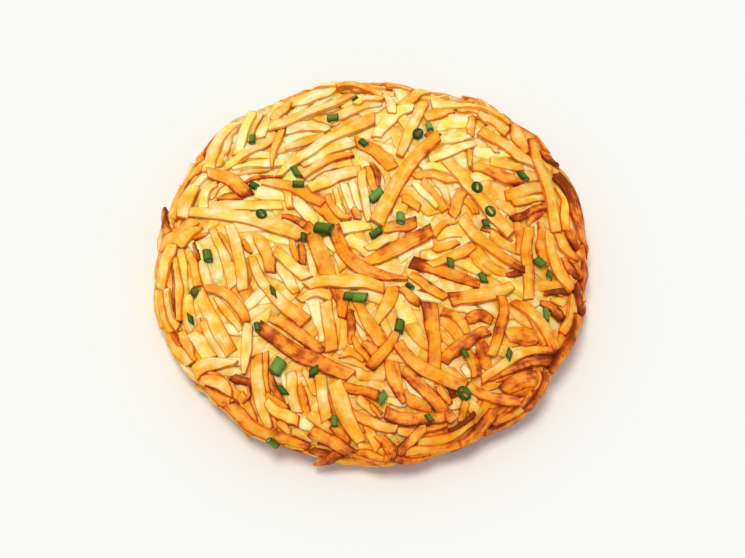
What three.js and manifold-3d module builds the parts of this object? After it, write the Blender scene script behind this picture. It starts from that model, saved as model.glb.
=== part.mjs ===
// Potato rosti: a pan-fried cake of matted potato shreds, sprinkled with snipped chives.
// Millimetres, +Z up. The origin is the middle of the flat underside that lay in the pan.
// The cake is one solid: a packed core with the shreds and chives that show fused onto it.

import * as THREE from "three";
import { mergeVertices } from "three/addons/utils/BufferGeometryUtils.js";
import Module from "manifold-3d";

const wasm = await Module();
wasm.setup();

// ---- Driving dimensions ----------------------------------------------------------------

const CAKE = {
  radius: 94.3, // mean plan radius of the packed core, where it is widest
  height: 25.5, // top of the core's dome
  waist: 9, // height at which the side is widest
  belly: 14, // half height of the curve that turns the side under, cut off by the pan at z = 0
  planPower: 3.2, // superellipse power across: higher makes the top flatter
  heightPower: 2.2, // superellipse power upwards: higher makes the shoulder squarer
};
// Slow swellings of the plan outline: waves around the rim, swelling in mm, direction in degrees.
const LOBES = [
  { waves: 2, swell: 1.1, toward: 155 },
  { waves: 3, swell: 0.7, toward: 104 },
  { waves: 4, swell: 0.9, toward: 140 },
  { waves: 5, swell: 0.6, toward: -150 },
];
const SHRED = {
  length: [30, 54],
  width: [3.8, 5.8],
  thickness: [2.0, 2.6],
  bend: 0.7, // largest turn from end to end, in radians
  tip: 0.55, // width of the tip as a share of the middle
  steps: 3, // facets along a shred
};
const CHIVE = { radius: 2.0, length: [4, 7], sides: 5, count: 40 };

const RIM_SHREDS = 34; // shreds that run round the side, in two staggered rows
const TOP_SHREDS = 58; // shreds that lie across the top, in two layers
const STRAYS = [-103, -40, 10, 45, 166]; // where a shred's end sticks out past the rim, in degrees
const SEED = 20;

// ---- Small tools -----------------------------------------------------------------------

const GOLDEN_ANGLE = Math.PI * (3 - Math.sqrt(5));
const radians = THREE.MathUtils.degToRad;
const mix = THREE.MathUtils.lerp;

THREE.MathUtils.seededRandom(SEED); // starts three.js's own seeded sequence
const draw = () => THREE.MathUtils.seededRandom();
const between = ([low, high]) => mix(low, high, draw());
const swing = (amount) => amount * (2 * draw() - 1);

// A closed three.js geometry as a manifold-3d solid.
function solidOf(geometry) {
  const bare = geometry.clone();
  bare.deleteAttribute("normal");
  bare.deleteAttribute("uv");
  const merged = mergeVertices(bare, 1e-4);
  return new wasm.Manifold(
    new wasm.Mesh({
      numProp: 3,
      vertProperties: merged.attributes.position.array,
      triVerts: new Uint32Array(merged.index.array),
    }),
  );
}

// A manifold-3d solid as a three.js geometry with flat facets.
function geometryOf(solid) {
  const mesh = solid.getMesh();
  const geometry = new THREE.BufferGeometry()
    .setAttribute("position", new THREE.BufferAttribute(mesh.vertProperties, 3))
    .setIndex(new THREE.BufferAttribute(mesh.triVerts, 1))
    .toNonIndexed();
  geometry.computeVertexNormals();
  return geometry;
}

// ---- The core's surface ----------------------------------------------------------------

// Plan radius of the core in a direction, with its slow swellings.
function rimRadius(angle) {
  const swell = (lobe) => lobe.swell * Math.cos(lobe.waves * angle - radians(lobe.toward));
  return LOBES.reduce((sum, lobe) => sum + swell(lobe), CAKE.radius);
}

// The side's profile from the middle of the top, over the shoulder, down to the pan:
// a superellipse, as samples of the distance walked, the share of the plan radius and the height.
const PROFILE = (() => {
  const power = (x, p) => Math.sign(x) * Math.abs(x) ** (2 / p);
  const samples = [];
  let walked = 0;
  for (let turn = Math.PI / 2; turn > -Math.PI / 2; turn -= 0.005) {
    const rise = power(Math.sin(turn), CAKE.heightPower);
    const half = rise > 0 ? CAKE.height - CAKE.waist : CAKE.belly;
    const sample = { out: power(Math.cos(turn), CAKE.planPower), up: CAKE.waist + half * rise };
    const last = samples.at(-1) ?? sample;
    walked += Math.hypot((sample.out - last.out) * CAKE.radius, sample.up - last.up);
    if (sample.up < 0) break;
    samples.push({ ...sample, walked });
  }
  return samples;
})();
const EDGE = PROFILE.at(-1).walked; // distance walked from the middle of the top to the pan

function profileAt(walked) {
  const after = PROFILE.findIndex((sample) => sample.walked >= walked);
  if (after < 0) return PROFILE.at(-1);
  const b = PROFILE[Math.max(after, 1)];
  const a = PROFILE[Math.max(after, 1) - 1];
  const share = (walked - a.walked) / (b.walked - a.walked);
  return { out: mix(a.out, b.out, share), up: mix(a.up, b.up, share) };
}

// The core's skin as a map laid flat: (u, v) is a walk over the top from its middle.
function onSkin(u, v, lift = 0) {
  const walked = Math.min(Math.hypot(u, v), EDGE);
  const angle = Math.atan2(v, u);
  const { out, up } = profileAt(walked);
  const outer = profileAt(Math.min(walked + 1, EDGE));
  const inner = profileAt(Math.max(walked - 1, 0));
  const slope = new THREE.Vector2(
    (outer.out - inner.out) * CAKE.radius,
    outer.up - inner.up,
  ).normalize();
  const normal = new THREE.Vector3(
    -slope.y * Math.cos(angle),
    -slope.y * Math.sin(angle),
    slope.x,
  );
  const reach = out * rimRadius(angle);
  const point = new THREE.Vector3(reach * Math.cos(angle), reach * Math.sin(angle), up);
  return { point: point.addScaledVector(normal, lift), normal };
}

// The packed core: a lathed profile whose rings are then pushed out to the uneven rim.
function core() {
  const rows = 7;
  const profile = [new THREE.Vector2(0, 0)];
  for (let row = rows; row >= 0; row--) {
    const walked = row === 0 ? 0 : mix(EDGE * 0.45, EDGE, (row - 1) / (rows - 1));
    const { out, up } = profileAt(walked);
    profile.push(new THREE.Vector2(out * CAKE.radius, row === rows ? 0 : up));
  }
  const geometry = new THREE.LatheGeometry(profile, 32).rotateX(Math.PI / 2);
  const position = geometry.attributes.position;
  for (let i = 0; i < position.count; i++) {
    const angle = Math.atan2(position.getY(i), position.getX(i));
    const stretch = rimRadius(angle) / CAKE.radius;
    position.setXY(i, position.getX(i) * stretch, position.getY(i) * stretch);
  }
  return solidOf(geometry);
}

// ---- Shreds and chives -----------------------------------------------------------------

// A ribbon bent over the skin: a box whose length follows an arc on the map, narrowing to its
// tips, with its ends sinking by `sink` from the lift of its middle.
function shred({ u, v, heading, length, width, thickness, bend, lift, sink }) {
  const geometry = new THREE.BoxGeometry(length, width, thickness, SHRED.steps, 1, 1);
  const position = geometry.attributes.position;
  const curl = Math.abs(bend) < 1e-3 ? 1e-3 : bend;
  const along = (walk) => {
    const turned = (curl * walk) / length;
    const forward = (Math.sin(turned) * length) / curl;
    const aside = ((1 - Math.cos(turned)) * length) / curl;
    const end = (2 * walk) / length;
    return onSkin(
      u + forward * Math.cos(heading) - aside * Math.sin(heading),
      v + forward * Math.sin(heading) + aside * Math.cos(heading),
      lift - sink * end * end,
    );
  };
  for (let i = 0; i < position.count; i++) {
    const walk = position.getX(i);
    const taper = mix(1, SHRED.tip, Math.abs((2 * walk) / length) ** 3);
    const { point, normal } = along(walk);
    const forward = along(walk + 0.5).point.sub(along(walk - 0.5).point).normalize();
    const across = normal.clone().cross(forward).normalize();
    point.addScaledVector(across, position.getY(i) * taper);
    point.addScaledVector(normal, position.getZ(i));
    position.setXYZ(i, point.x, point.y, point.z);
  }
  return solidOf(geometry);
}

const cut = () => ({
  length: between(SHRED.length),
  width: between(SHRED.width),
  thickness: between(SHRED.thickness),
  bend: swing(SHRED.bend),
});

// Shreds that wrap the side, end past end, each tipped a little up or down.
function rimShreds() {
  return Array.from({ length: RIM_SHREDS }, (_, i) => {
    const upper = i % 2;
    const angle = (2 * Math.PI * (i + 0.3 * swing(1))) / RIM_SHREDS;
    const walked = EDGE - (upper ? 21 : 9) + swing(3);
    return shred({
      ...cut(),
      u: walked * Math.cos(angle),
      v: walked * Math.sin(angle),
      heading: angle + Math.PI / 2 + swing(0.35),
      bend: 0.35 + swing(0.25), // towards the middle, as the rim turns
      lift: (upper ? 2.0 : 1.2) + swing(0.35),
      sink: 1.4,
    });
  });
}

// Shreds whose ends spring clear of the side.
function strayShreds() {
  return STRAYS.map((degrees) => {
    const angle = radians(degrees);
    const walked = EDGE - 13;
    return shred({
      ...cut(),
      u: walked * Math.cos(angle),
      v: walked * Math.sin(angle),
      heading: angle + Math.PI / 2 + swing(0.5),
      length: SHRED.length[0],
      bend: 0,
      lift: 1.2,
      sink: -2.2,
    });
  });
}

// Shreds that lie every way across the top, spread like the seeds of a sunflower.
function topShreds() {
  const reach = EDGE - 26;
  return Array.from({ length: TOP_SHREDS }, (_, i) => {
    const upper = i % 2;
    const walked = reach * Math.sqrt((i + 0.5) / TOP_SHREDS);
    const angle = i * GOLDEN_ANGLE;
    return shred({
      ...cut(),
      u: walked * Math.cos(angle),
      v: walked * Math.sin(angle),
      heading: draw() * Math.PI,
      lift: (upper ? 2.7 : 0.9) + swing(0.35),
      sink: upper ? 1.6 : 0.3,
    });
  });
}

// Snipped chives: short lengths of stalk lying on the shreds, each fused where it touches.
function chives() {
  const reach = EDGE - 30;
  return Array.from({ length: CHIVE.count }, (_, i) => {
    const walked = reach * Math.sqrt((i + 0.5) / CHIVE.count);
    const angle = (i + 0.5) * GOLDEN_ANGLE + 0.7;
    const { point, normal } = onSkin(walked * Math.cos(angle), walked * Math.sin(angle), 3.6);
    const stalk = new THREE.CylinderGeometry(
      CHIVE.radius,
      CHIVE.radius,
      between(CHIVE.length),
      CHIVE.sides,
    );
    const lie = new THREE.Quaternion().setFromUnitVectors(new THREE.Vector3(0, 0, 1), normal);
    stalk.rotateZ(draw() * Math.PI).applyQuaternion(lie).translate(point.x, point.y, point.z);
    return solidOf(stalk);
  });
}

// ---- The whole cake --------------------------------------------------------------------

// The table cuts off whatever reaches below the flat underside.
function table() {
  const side = 4 * CAKE.radius;
  return solidOf(new THREE.BoxGeometry(side, side, side).translate(0, 0, -side / 2));
}

// Fuses everything, then keeps the outer skin alone: hollows sealed between shreds are filled
// and scraps that touch nothing are dropped.
function cake() {
  const pieces = [...rimShreds(), ...strayShreds(), ...topShreds(), ...chives()];
  const fused = pieces.reduce((whole, piece) => whole.add(piece), core()).subtract(table());
  const skins = fused.decompose();
  return skins.reduce((most, skin) => (skin.volume() > most.volume() ? skin : most));
}

const rosti = new THREE.Group();
const cakeMesh = new THREE.Mesh(
  geometryOf(cake()),
  new THREE.MeshStandardMaterial({ color: 0xe9a23b, roughness: 0.55, metalness: 0 }),
);
cakeMesh.name = "rosti";
rosti.add(cakeMesh);

export default rosti;
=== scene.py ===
"""Potato rosti: a fried cake of matted potato shreds with snipped chives on top, in a plain studio.

Everything is in metres; MM turns a size in millimetres into them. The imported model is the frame,
and what is made here stands for its one node: a core of packed potato, the shreds that lie on it
and the chives. Each group of pieces has its own operator, listed in the Rosti panel.
"""

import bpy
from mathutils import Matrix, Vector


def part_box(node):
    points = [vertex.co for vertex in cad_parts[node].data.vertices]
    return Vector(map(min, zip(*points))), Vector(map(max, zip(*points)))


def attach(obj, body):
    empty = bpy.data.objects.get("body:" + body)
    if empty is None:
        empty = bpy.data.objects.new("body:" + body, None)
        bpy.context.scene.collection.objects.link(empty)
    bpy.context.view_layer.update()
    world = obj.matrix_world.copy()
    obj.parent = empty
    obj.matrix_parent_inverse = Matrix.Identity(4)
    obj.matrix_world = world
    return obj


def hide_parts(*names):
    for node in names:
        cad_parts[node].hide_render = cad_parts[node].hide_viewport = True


bl_info = {
    "name": "Potato Rosti",
    "version": (1, 0, 0),
    "blender": (4, 5, 0),
    "location": "View3D > Sidebar > Rosti",
    "description": "Lays a fried cake of potato shreds and chives around its packed model",
    "category": "Add Mesh",
}

import bpy
import numpy as np
from bpy.props import FloatProperty, FloatVectorProperty, IntProperty, PointerProperty
from bpy.types import Operator, Panel, PropertyGroup
from mathutils import Matrix, Vector

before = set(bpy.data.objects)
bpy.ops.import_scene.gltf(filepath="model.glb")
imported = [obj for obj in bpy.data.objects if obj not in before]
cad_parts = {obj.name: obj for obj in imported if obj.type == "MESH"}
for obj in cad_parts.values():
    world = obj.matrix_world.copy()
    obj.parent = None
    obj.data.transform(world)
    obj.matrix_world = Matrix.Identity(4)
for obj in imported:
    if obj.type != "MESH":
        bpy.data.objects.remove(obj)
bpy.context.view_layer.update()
CAKE_LOW, CAKE_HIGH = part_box("rosti")

MM = 0.001
TURN = 2 * np.pi
GOLDEN_ANGLE = np.pi * (3 - np.sqrt(5))
# Steps of this share fill a span evenly, and the two together fill an area.
GOLDEN_STEP, EVEN_STEP = 0.618034, 0.7548777

# ---- The cake's form, from the frame ----------------------------------------------------

CAKE_WIDTH, CAKE_DEPTH, CAKE_HEIGHT = CAKE_HIGH - CAKE_LOW
SHREDS_PROUD = 0.65 * MM  # how far the shreds stand out from the core at the side
SHREDS_HIGH = 5.6 * MM  # how far they stand above it in the middle
CORE_RADIUS = (CAKE_WIDTH + CAKE_DEPTH) / 4 - SHREDS_PROUD
CORE_HEIGHT = CAKE_HEIGHT - SHREDS_HIGH
WAIST = 9 * MM  # height at which the side is widest
BELLY = 14 * MM  # half height of the curve that turns the side under, cut off by the pan
PLAN_POWER = 3.2  # superellipse power across: higher makes the top flatter
HEIGHT_POWER = 2.2  # superellipse power upwards: higher makes the shoulder squarer
# Slow swellings of the plan outline: waves round the rim, swelling in mm, direction in degrees.
RIM_WAVES = ((1, 0.3, 60), (2, 1.2, 136), (3, 0.75, 98), (4, 1.5, 145), (5, 0.9, -148))
# Bulges and dents where the ends of shreds bunch up or part: swelling in mm, direction in degrees.
RIM_BULGES = (
    *((-1.5, 0), (0.8, 22), (-1.4, 34), (-1.0, 46), (1.7, 57), (1.2, 95), (-1.6, 120), (1.0, 135)),
    *((0.9, 202), (-0.8, 226), (1.7, 240), (-1.4, 300), (1.5, 312), (-1.6, 325), (1.1, 340)),
)
BULGE_REACH = np.radians(4)  # half width of a bulge
SHOULDER = (45 * MM, 22 * MM)  # walk from the pan's edge between which top turns into side
BED = (-0.9 * MM, -3.2 * MM)  # lift of the bare core's skin on the top and on the side
PRESSED = (5.6 * MM, 3.5 * MM)  # the pan and the spatula press shreds down to this lift
PAN_GAP = 0.05 * MM  # nothing reaches lower than this above the pan
LUMPS = 14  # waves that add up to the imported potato's lumps
LUMP_LENGTHS, LUMP_HEIGHT = (6, 17), 0.16  # mm

# ---- The camera -------------------------------------------------------------------------

IMAGE_WIDTH, IMAGE_HEIGHT = 745, 558
CAKE_ACROSS, CAKE_PIXELS = 190 * MM, 437  # width of the cake and what it takes up in the image
LENS, SENSOR = 90.0, 36.0
ELEVATION = np.radians(59)
AIM = np.array([0.0, -9.7, 12.0]) * MM
FOCAL_PIXELS = IMAGE_WIDTH * LENS / SENSOR
CAMERA_DISTANCE = CAKE_ACROSS / CAKE_PIXELS * FOCAL_PIXELS
PIXEL = CAMERA_DISTANCE / FOCAL_PIXELS  # what one covers at the cake, in metres
CAMERA_BACK = np.array([0.0, -np.cos(ELEVATION), np.sin(ELEVATION)])
CAMERA_UP = np.array([0.0, np.sin(ELEVATION), np.cos(ELEVATION)])
CAMERA_PLACE = AIM + CAMERA_DISTANCE * CAMERA_BACK

# ---- The shreds and chives that the camera sees ------------------------------------------

# One row for each shred on the top and the near side: start, middle and end in image pixels,
# width in pixels and browning (0 raw cream to 9 dark brown) at its start, middle and end, and the
# layer it lies in: 0 to 3 upwards, and 4 for those beneath 2 and 3 that stand off the rim at
# their start. The browning also carries painted light and shade: paler towards the upper left,
# where the key light comes from, and darker towards the lower right.
SEEN_SHREDS = (
    # left
    (222, 131, 206, 147, 199, 162, 4, 8, 7, "666", 1),
    (200, 165, 185, 188, 172, 220, 7, 9, 7, "665", 1),
    (238, 124, 216, 146, 208, 172, 8, 13, 12, "234", 1),
    (252, 110, 243, 131, 235, 151, 9, 11, 9, "112", 2),
    (228, 143, 224, 153, 221, 162, 6, 6, 5, "535", 0),
    (275, 129, 250, 148, 224, 164, 13, 13, 12, "543", 2),
    (205, 168, 227, 174, 246, 192, 9, 13, 12, "469", 3),
    (215, 197, 228, 193, 243, 193, 4, 7, 6, "988", 2),
    (243, 180, 260, 174, 277, 174, 3, 4, 2, "888", 2),
    (216, 179, 203, 190, 203, 205, 9, 11, 8, "522", 2),
    (224, 180, 215, 188, 211, 197, 6, 7, 4, "544", 1),
    (195, 186, 188, 200, 181, 218, 8, 11, 9, "344", 1),
    (186, 208, 245, 214, 304, 234, 9, 13, 15, "436", 3),
    (281, 213, 297, 217, 312, 230, 5, 7, 8, "887", 2),
    (162, 209, 163, 220, 168, 233, 6, 8, 6, "887", 4),
    (194, 218, 178, 231, 160, 252, 9, 12, 9, "566", 1),
    (196, 224, 184, 235, 174, 243, 8, 10, 9, "555", 2),
    (171, 243, 163, 264, 157, 289, 8, 12, 11, "336", 2),
    (174, 258, 179, 290, 179, 320, 8, 10, 7, "444", 1),
    # painted shadow: a thin dark strip laid in the shaded gap beside the shred above
    (171, 262, 175, 290, 174, 318, 3, 4, 3, "989", 1),
    (177, 243, 182, 270, 185, 318, 8, 10, 9, "324", 0),
    (187, 251, 194, 266, 197, 285, 8, 9, 9, "544", 1),
    # painted shadow: these two thin dark strips are laid where shade lies between shreds
    (193, 241, 196, 250, 199, 259, 4, 5, 4, "999", 1),
    (193, 239, 200, 235, 208, 233, 4, 5, 3, "888", 1),
    (203, 262, 207, 275, 211, 290, 9, 11, 9, "235", 0),
    (211, 227, 223, 252, 234, 286, 8, 12, 13, "633", 1),
    (219, 232, 229, 250, 232, 262, 4, 5, 2, "756", 1),
    (228, 223, 238, 252, 242, 289, 10, 12, 11, "344", 2),
    (241, 238, 246, 245, 251, 252, 5, 6, 3, "877", 2),
    (247, 262, 248, 276, 246, 290, 5, 6, 6, "666", 0),
    (244, 288, 247, 294, 250, 300, 12, 14, 8, "666", 0),
    (250, 306, 259, 297, 268, 290, 8, 10, 8, "010", 0),
    (203, 287, 228, 293, 245, 320, 8, 11, 9, "656", 3),
    (201, 291, 213, 320, 231, 352, 11, 15, 14, "335", 1),
    (214, 297, 229, 313, 240, 331, 5, 9, 5, "443", 1),
    (159, 290, 163, 312, 170, 332, 7, 8, 7, "556", 2),
    (168, 289, 169, 308, 176, 328, 8, 9, 7, "333", 1),
    (186, 300, 189, 315, 193, 328, 12, 14, 14, "134", 0),
    # lower left
    (167, 331, 172, 348, 187, 364, 6, 9, 8, "544", 2),
    (172, 329, 174, 338, 177, 347, 4, 5, 3, "888", 1),
    (179, 330, 185, 346, 195, 361, 8, 10, 6, "445", 1),
    (192, 331, 201, 345, 208, 358, 12, 15, 15, "222", 1),
    (202, 321, 213, 340, 223, 357, 8, 9, 8, "444", 1),
    (190, 375, 204, 363, 234, 361, 15, 12, 6, "532", 3),
    (222, 364, 229, 366, 234, 368, 5, 6, 5, "555", 0),
    (198, 380, 213, 382, 230, 393, 8, 13, 6, "434", 3),
    (205, 372, 213, 374, 222, 380, 4, 6, 4, "555", 2),
    (201, 387, 213, 397, 228, 404, 7, 11, 9, "765", 2),
    (247, 321, 244, 347, 241, 372, 8, 11, 4, "322", 3),
    (222, 372, 230, 370, 236, 372, 8, 10, 8, "111", 0),
    (229, 384, 236, 392, 243, 399, 8, 10, 7, "554", 0),
    (229, 376, 240, 380, 253, 385, 9, 9, 8, "988", 2),
    (248, 386, 248, 396, 242, 404, 3, 4, 4, "777", 2),
    # bottom left
    (227, 405, 254, 430, 308, 449, 13, 13, 7, "757", 3),
    (256, 352, 257, 390, 270, 429, 11, 13, 7, "735", 2),
    (240, 394, 246, 404, 257, 424, 10, 10, 4, "557", 1),
    (264, 399, 278, 413, 298, 421, 8, 12, 11, "225", 3),
    (265, 392, 275, 399, 286, 407, 6, 9, 6, "657", 2),
    (269, 411, 272, 420, 277, 431, 4, 5, 3, "666", 1),
    (276, 422, 284, 429, 292, 431, 6, 8, 6, "555", 1),
    (290, 433, 297, 433, 305, 437, 6, 8, 6, "333", 0),
    (266, 350, 266, 370, 268, 394, 5, 6, 4, "665", 1),
    (270, 376, 276, 390, 283, 402, 8, 8, 5, "676", 0),
    (283, 374, 285, 386, 287, 399, 5, 6, 4, "100", 0),
    # upper left and top
    (258, 112, 252, 126, 247, 140, 7, 8, 6, "344", 1),
    (279, 97, 267, 116, 259, 137, 11, 13, 9, "233", 2),
    (288, 98, 280, 106, 271, 117, 6, 8, 6, "444", 2),
    (268, 122, 306, 109, 352, 90, 10, 14, 8, "446", 3),
    (289, 100, 313, 96, 335, 88, 8, 11, 4, "322", 1),
    (284, 124, 310, 114, 338, 104, 9, 9, 7, "332", 1),
    (281, 124, 275, 147, 271, 167, 6, 8, 3, "356", 2),
    (285, 129, 305, 124, 327, 129, 6, 10, 5, "332", 2),
    (285, 145, 300, 138, 322, 132, 8, 12, 10, "000", 0),
    (285, 150, 303, 143, 325, 134, 5, 7, 6, "455", 1),
    (312, 117, 325, 121, 336, 122, 4, 6, 5, "344", 0),
    (281, 152, 290, 149, 303, 142, 8, 9, 7, "322", 0),
    (278, 173, 318, 142, 376, 115, 6, 13, 15, "236", 3),
    (300, 163, 324, 151, 352, 140, 9, 12, 11, "222", 1),
    (302, 174, 325, 161, 353, 151, 9, 9, 7, "457", 2),
    (306, 179, 325, 168, 352, 160, 5, 8, 8, "333", 1),
    (308, 88, 326, 84, 345, 84, 5, 7, 5, "322", 2),
    (340, 104, 355, 98, 372, 91, 8, 10, 8, "011", 1),
    (330, 119, 348, 111, 382, 102, 8, 10, 7, "443", 1),
    (366, 113, 376, 108, 384, 103, 9, 10, 6, "431", 0),
    (336, 86, 360, 83, 383, 89, 5, 6, 5, "655", 2),
    (356, 104, 369, 97, 383, 98, 6, 9, 7, "235", 2),
    (237, 160, 255, 155, 276, 158, 3, 8, 8, "011", 1),
    (232, 169, 255, 165, 285, 164, 4, 7, 6, "110", 1),
    (238, 176, 256, 170, 282, 166, 3, 6, 5, "553", 0),
    # upper middle
    (263, 180, 292, 186, 324, 202, 8, 13, 12, "466", 2),
    (209, 203, 240, 204, 282, 204, 9, 10, 8, "432", 1),
    (252, 194, 268, 193, 288, 196, 14, 16, 14, "110", 0),
    (294, 199, 305, 210, 316, 223, 11, 13, 10, "211", 1),
    (318, 203, 328, 212, 338, 222, 11, 13, 9, "554", 1),
    (287, 191, 289, 200, 291, 208, 8, 8, 7, "444", 1),
    (309, 188, 332, 175, 361, 166, 10, 13, 11, "334", 2),
    (326, 193, 336, 208, 350, 217, 7, 8, 6, "555", 2),
    (335, 186, 338, 200, 344, 213, 6, 7, 5, "222", 1),
    (338, 187, 342, 200, 349, 213, 3, 4, 3, "445", 1),
    (343, 182, 348, 197, 354, 213, 8, 9, 7, "212", 1),
    (351, 179, 355, 195, 360, 211, 8, 8, 6, "211", 1),
    (361, 168, 364, 193, 369, 218, 9, 9, 7, "422", 2),
    (354, 208, 356, 213, 357, 219, 6, 8, 8, "666", 1),
    (366, 164, 371, 178, 375, 191, 7, 8, 8, "756", 1),
    (372, 160, 377, 172, 378, 186, 4, 6, 4, "898", 1),
    (382, 171, 387, 178, 386, 190, 8, 7, 3, "333", 0),
    (338, 228, 354, 226, 371, 224, 12, 12, 7, "000", 1),
    (347, 238, 358, 246, 372, 256, 12, 14, 10, "111", 0),
    (375, 243, 388, 236, 401, 231, 12, 14, 12, "233", 0),
    (365, 250, 380, 243, 398, 236, 6, 8, 8, "123", 1),
    (386, 222, 393, 228, 398, 236, 10, 12, 10, "235", 0),
    (383, 231, 400, 226, 417, 221, 8, 12, 11, "468", 1),
    (398, 258, 415, 247, 433, 241, 10, 13, 10, "000", 0),
    (324, 236, 330, 243, 336, 252, 7, 7, 5, "321", 1),
    # upper right
    (386, 86, 399, 88, 412, 92, 3, 5, 4, "655", 1),
    (384, 90, 391, 101, 392, 113, 7, 10, 8, "432", 2),
    (430, 93, 418, 93, 402, 106, 5, 8, 8, "343", 1),
    (398, 92, 402, 99, 400, 108, 10, 12, 8, "112", 0),
    (425, 98, 413, 122, 400, 153, 10, 11, 8, "434", 2),
    (414, 107, 392, 117, 377, 137, 8, 11, 9, "012", 1),
    (454, 107, 440, 111, 424, 115, 9, 11, 8, "754", 1),
    (432, 99, 478, 104, 510, 121, 9, 9, 9, "236", 2),
    (457, 109, 470, 109, 482, 113, 4, 5, 4, "444", 1),
    (440, 132, 407, 164, 377, 220, 12, 14, 17, "654", 3),
    (428, 128, 433, 131, 440, 133, 8, 9, 6, "888", 2),
    (355, 138, 378, 149, 393, 165, 11, 14, 13, "665", 2),
    (385, 138, 392, 133, 398, 142, 10, 14, 8, "333", 0),
    (400, 116, 405, 123, 410, 129, 10, 10, 8, "222", 0),
    (438, 142, 455, 140, 468, 137, 7, 8, 5, "121", 0),
    (475, 138, 455, 147, 429, 157, 6, 9, 9, "212", 2),
    (472, 114, 471, 124, 470, 135, 8, 9, 8, "755", 1),
    (478, 113, 495, 121, 509, 130, 5, 9, 8, "444", 1),
    (481, 125, 512, 143, 541, 162, 9, 12, 8, "645", 3),
    (486, 130, 492, 142, 498, 153, 6, 8, 5, "424", 1),
    (440, 126, 455, 123, 469, 121, 14, 18, 18, "110", 0),
    (474, 150, 490, 155, 507, 154, 10, 14, 8, "000", 0),
    (447, 156, 478, 190, 512, 232, 13, 14, 12, "344", 3),
    (473, 164, 495, 171, 520, 183, 8, 11, 9, "568", 2),
    (490, 160, 508, 165, 524, 167, 8, 10, 7, "346", 1),
    (523, 178, 533, 176, 541, 176, 8, 10, 7, "345", 0),
    (470, 143, 471, 154, 472, 165, 6, 6, 3, "644", 3),
    (413, 176, 430, 175, 458, 180, 7, 8, 6, "544", 1),
    (420, 168, 435, 167, 455, 172, 8, 9, 7, "110", 1),
    (505, 196, 524, 190, 546, 184, 12, 13, 11, "643", 1),
    (512, 204, 530, 199, 547, 195, 6, 7, 6, "634", 1),
    (512, 216, 530, 210, 549, 203, 6, 7, 7, "986", 2),
    (501, 205, 507, 210, 512, 213, 8, 10, 6, "346", 0),
    (531, 221, 536, 217, 540, 212, 5, 8, 6, "676", 0),
    (533, 134, 549, 180, 559, 228, 9, 12, 10, "744", 3),
    (558, 165, 553, 156, 545, 145, 6, 8, 6, "987", 4),
    (514, 121, 522, 134, 530, 149, 8, 11, 8, "544", 2),
    (558, 171, 577, 198, 585, 241, 9, 13, 9, "985", 2),
    (559, 182, 566, 203, 569, 228, 3, 8, 7, "334", 2),
    (463, 188, 457, 201, 452, 214, 11, 12, 11, "665", 2),
    (422, 181, 434, 195, 445, 210, 8, 10, 9, "454", 1),
    (412, 184, 425, 195, 438, 208, 5, 7, 4, "111", 1),
    (436, 181, 443, 190, 449, 201, 7, 8, 4, "236", 0),
    (400, 190, 420, 203, 435, 215, 12, 13, 12, "634", 0),
    (402, 195, 412, 200, 421, 206, 8, 8, 7, "445", 2),
    (462, 212, 490, 244, 526, 267, 11, 12, 10, "449", 3),
    (463, 197, 471, 203, 478, 212, 6, 8, 5, "456", 1),
    (484, 230, 496, 234, 508, 240, 4, 6, 4, "888", 0),
    (492, 236, 504, 244, 516, 252, 7, 9, 7, "444", 0),
    (517, 226, 519, 240, 517, 252, 7, 9, 5, "556", 0),
    (482, 252, 493, 260, 508, 268, 6, 9, 6, "122", 0),
    (570, 226, 574, 238, 577, 250, 6, 7, 4, "577", 1),
    # middle right
    (336, 221, 353, 258, 408, 275, 9, 14, 3, "867", 3),
    (433, 228, 400, 245, 363, 261, 14, 16, 8, "864", 2),
    (411, 259, 437, 267, 481, 281, 15, 12, 8, "967", 2),
    (434, 236, 447, 222, 461, 217, 6, 8, 6, "554", 1),
    (438, 236, 452, 233, 466, 232, 8, 12, 8, "221", 0),
    (434, 250, 448, 245, 460, 241, 6, 8, 4, "346", 1),
    (429, 264, 450, 256, 475, 243, 8, 11, 10, "455", 2),
    (438, 268, 452, 270, 466, 274, 6, 8, 5, "544", 0),
    (456, 262, 465, 266, 474, 270, 6, 9, 6, "422", 0),
    (474, 248, 480, 260, 492, 272, 12, 16, 12, "554", 0),
    (490, 268, 503, 274, 514, 272, 6, 8, 6, "555", 0),
    # painted shadow: a thin dark strip laid in the shade beyond a shred's end
    (506, 275, 515, 273, 523, 271, 4, 6, 4, "888", 1),
    (450, 297, 482, 293, 514, 281, 14, 14, 9, "744", 3),
    (429, 299, 434, 330, 434, 367, 17, 14, 13, "855", 3),
    (393, 284, 388, 302, 375, 322, 13, 13, 7, "544", 2),
    (402, 287, 410, 296, 420, 303, 8, 9, 8, "667", 1),
    (410, 272, 428, 284, 447, 296, 8, 10, 9, "566", 2),
    (355, 301, 368, 321, 383, 343, 8, 14, 12, "555", 2),
    (351, 303, 358, 318, 368, 333, 5, 7, 5, "534", 1),
    (364, 293, 374, 297, 383, 302, 8, 12, 8, "221", 0),
    (396, 329, 385, 347, 369, 366, 8, 11, 10, "558", 3),
    (398, 306, 406, 315, 412, 330, 10, 16, 14, "110", 0),
    (384, 320, 387, 326, 389, 333, 6, 8, 5, "433", 0),
    (398, 340, 424, 366, 467, 384, 11, 13, 12, "555", 3),
    (414, 330, 420, 338, 428, 345, 14, 14, 12, "534", 0),
    (489, 328, 468, 340, 444, 362, 10, 13, 11, "766", 2),
    (442, 311, 457, 319, 468, 333, 10, 10, 8, "755", 1),
    (444, 322, 453, 329, 460, 341, 10, 12, 10, "455", 0),
    (442, 334, 447, 340, 452, 346, 6, 8, 6, "446", 0),
    (448, 305, 462, 308, 474, 310, 8, 10, 8, "222", 0),
    (467, 320, 478, 315, 492, 321, 8, 12, 8, "677", 1),
    (478, 300, 488, 306, 494, 316, 10, 12, 8, "525", 0),
    (476, 338, 482, 350, 484, 368, 8, 14, 12, "476", 0),
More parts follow.
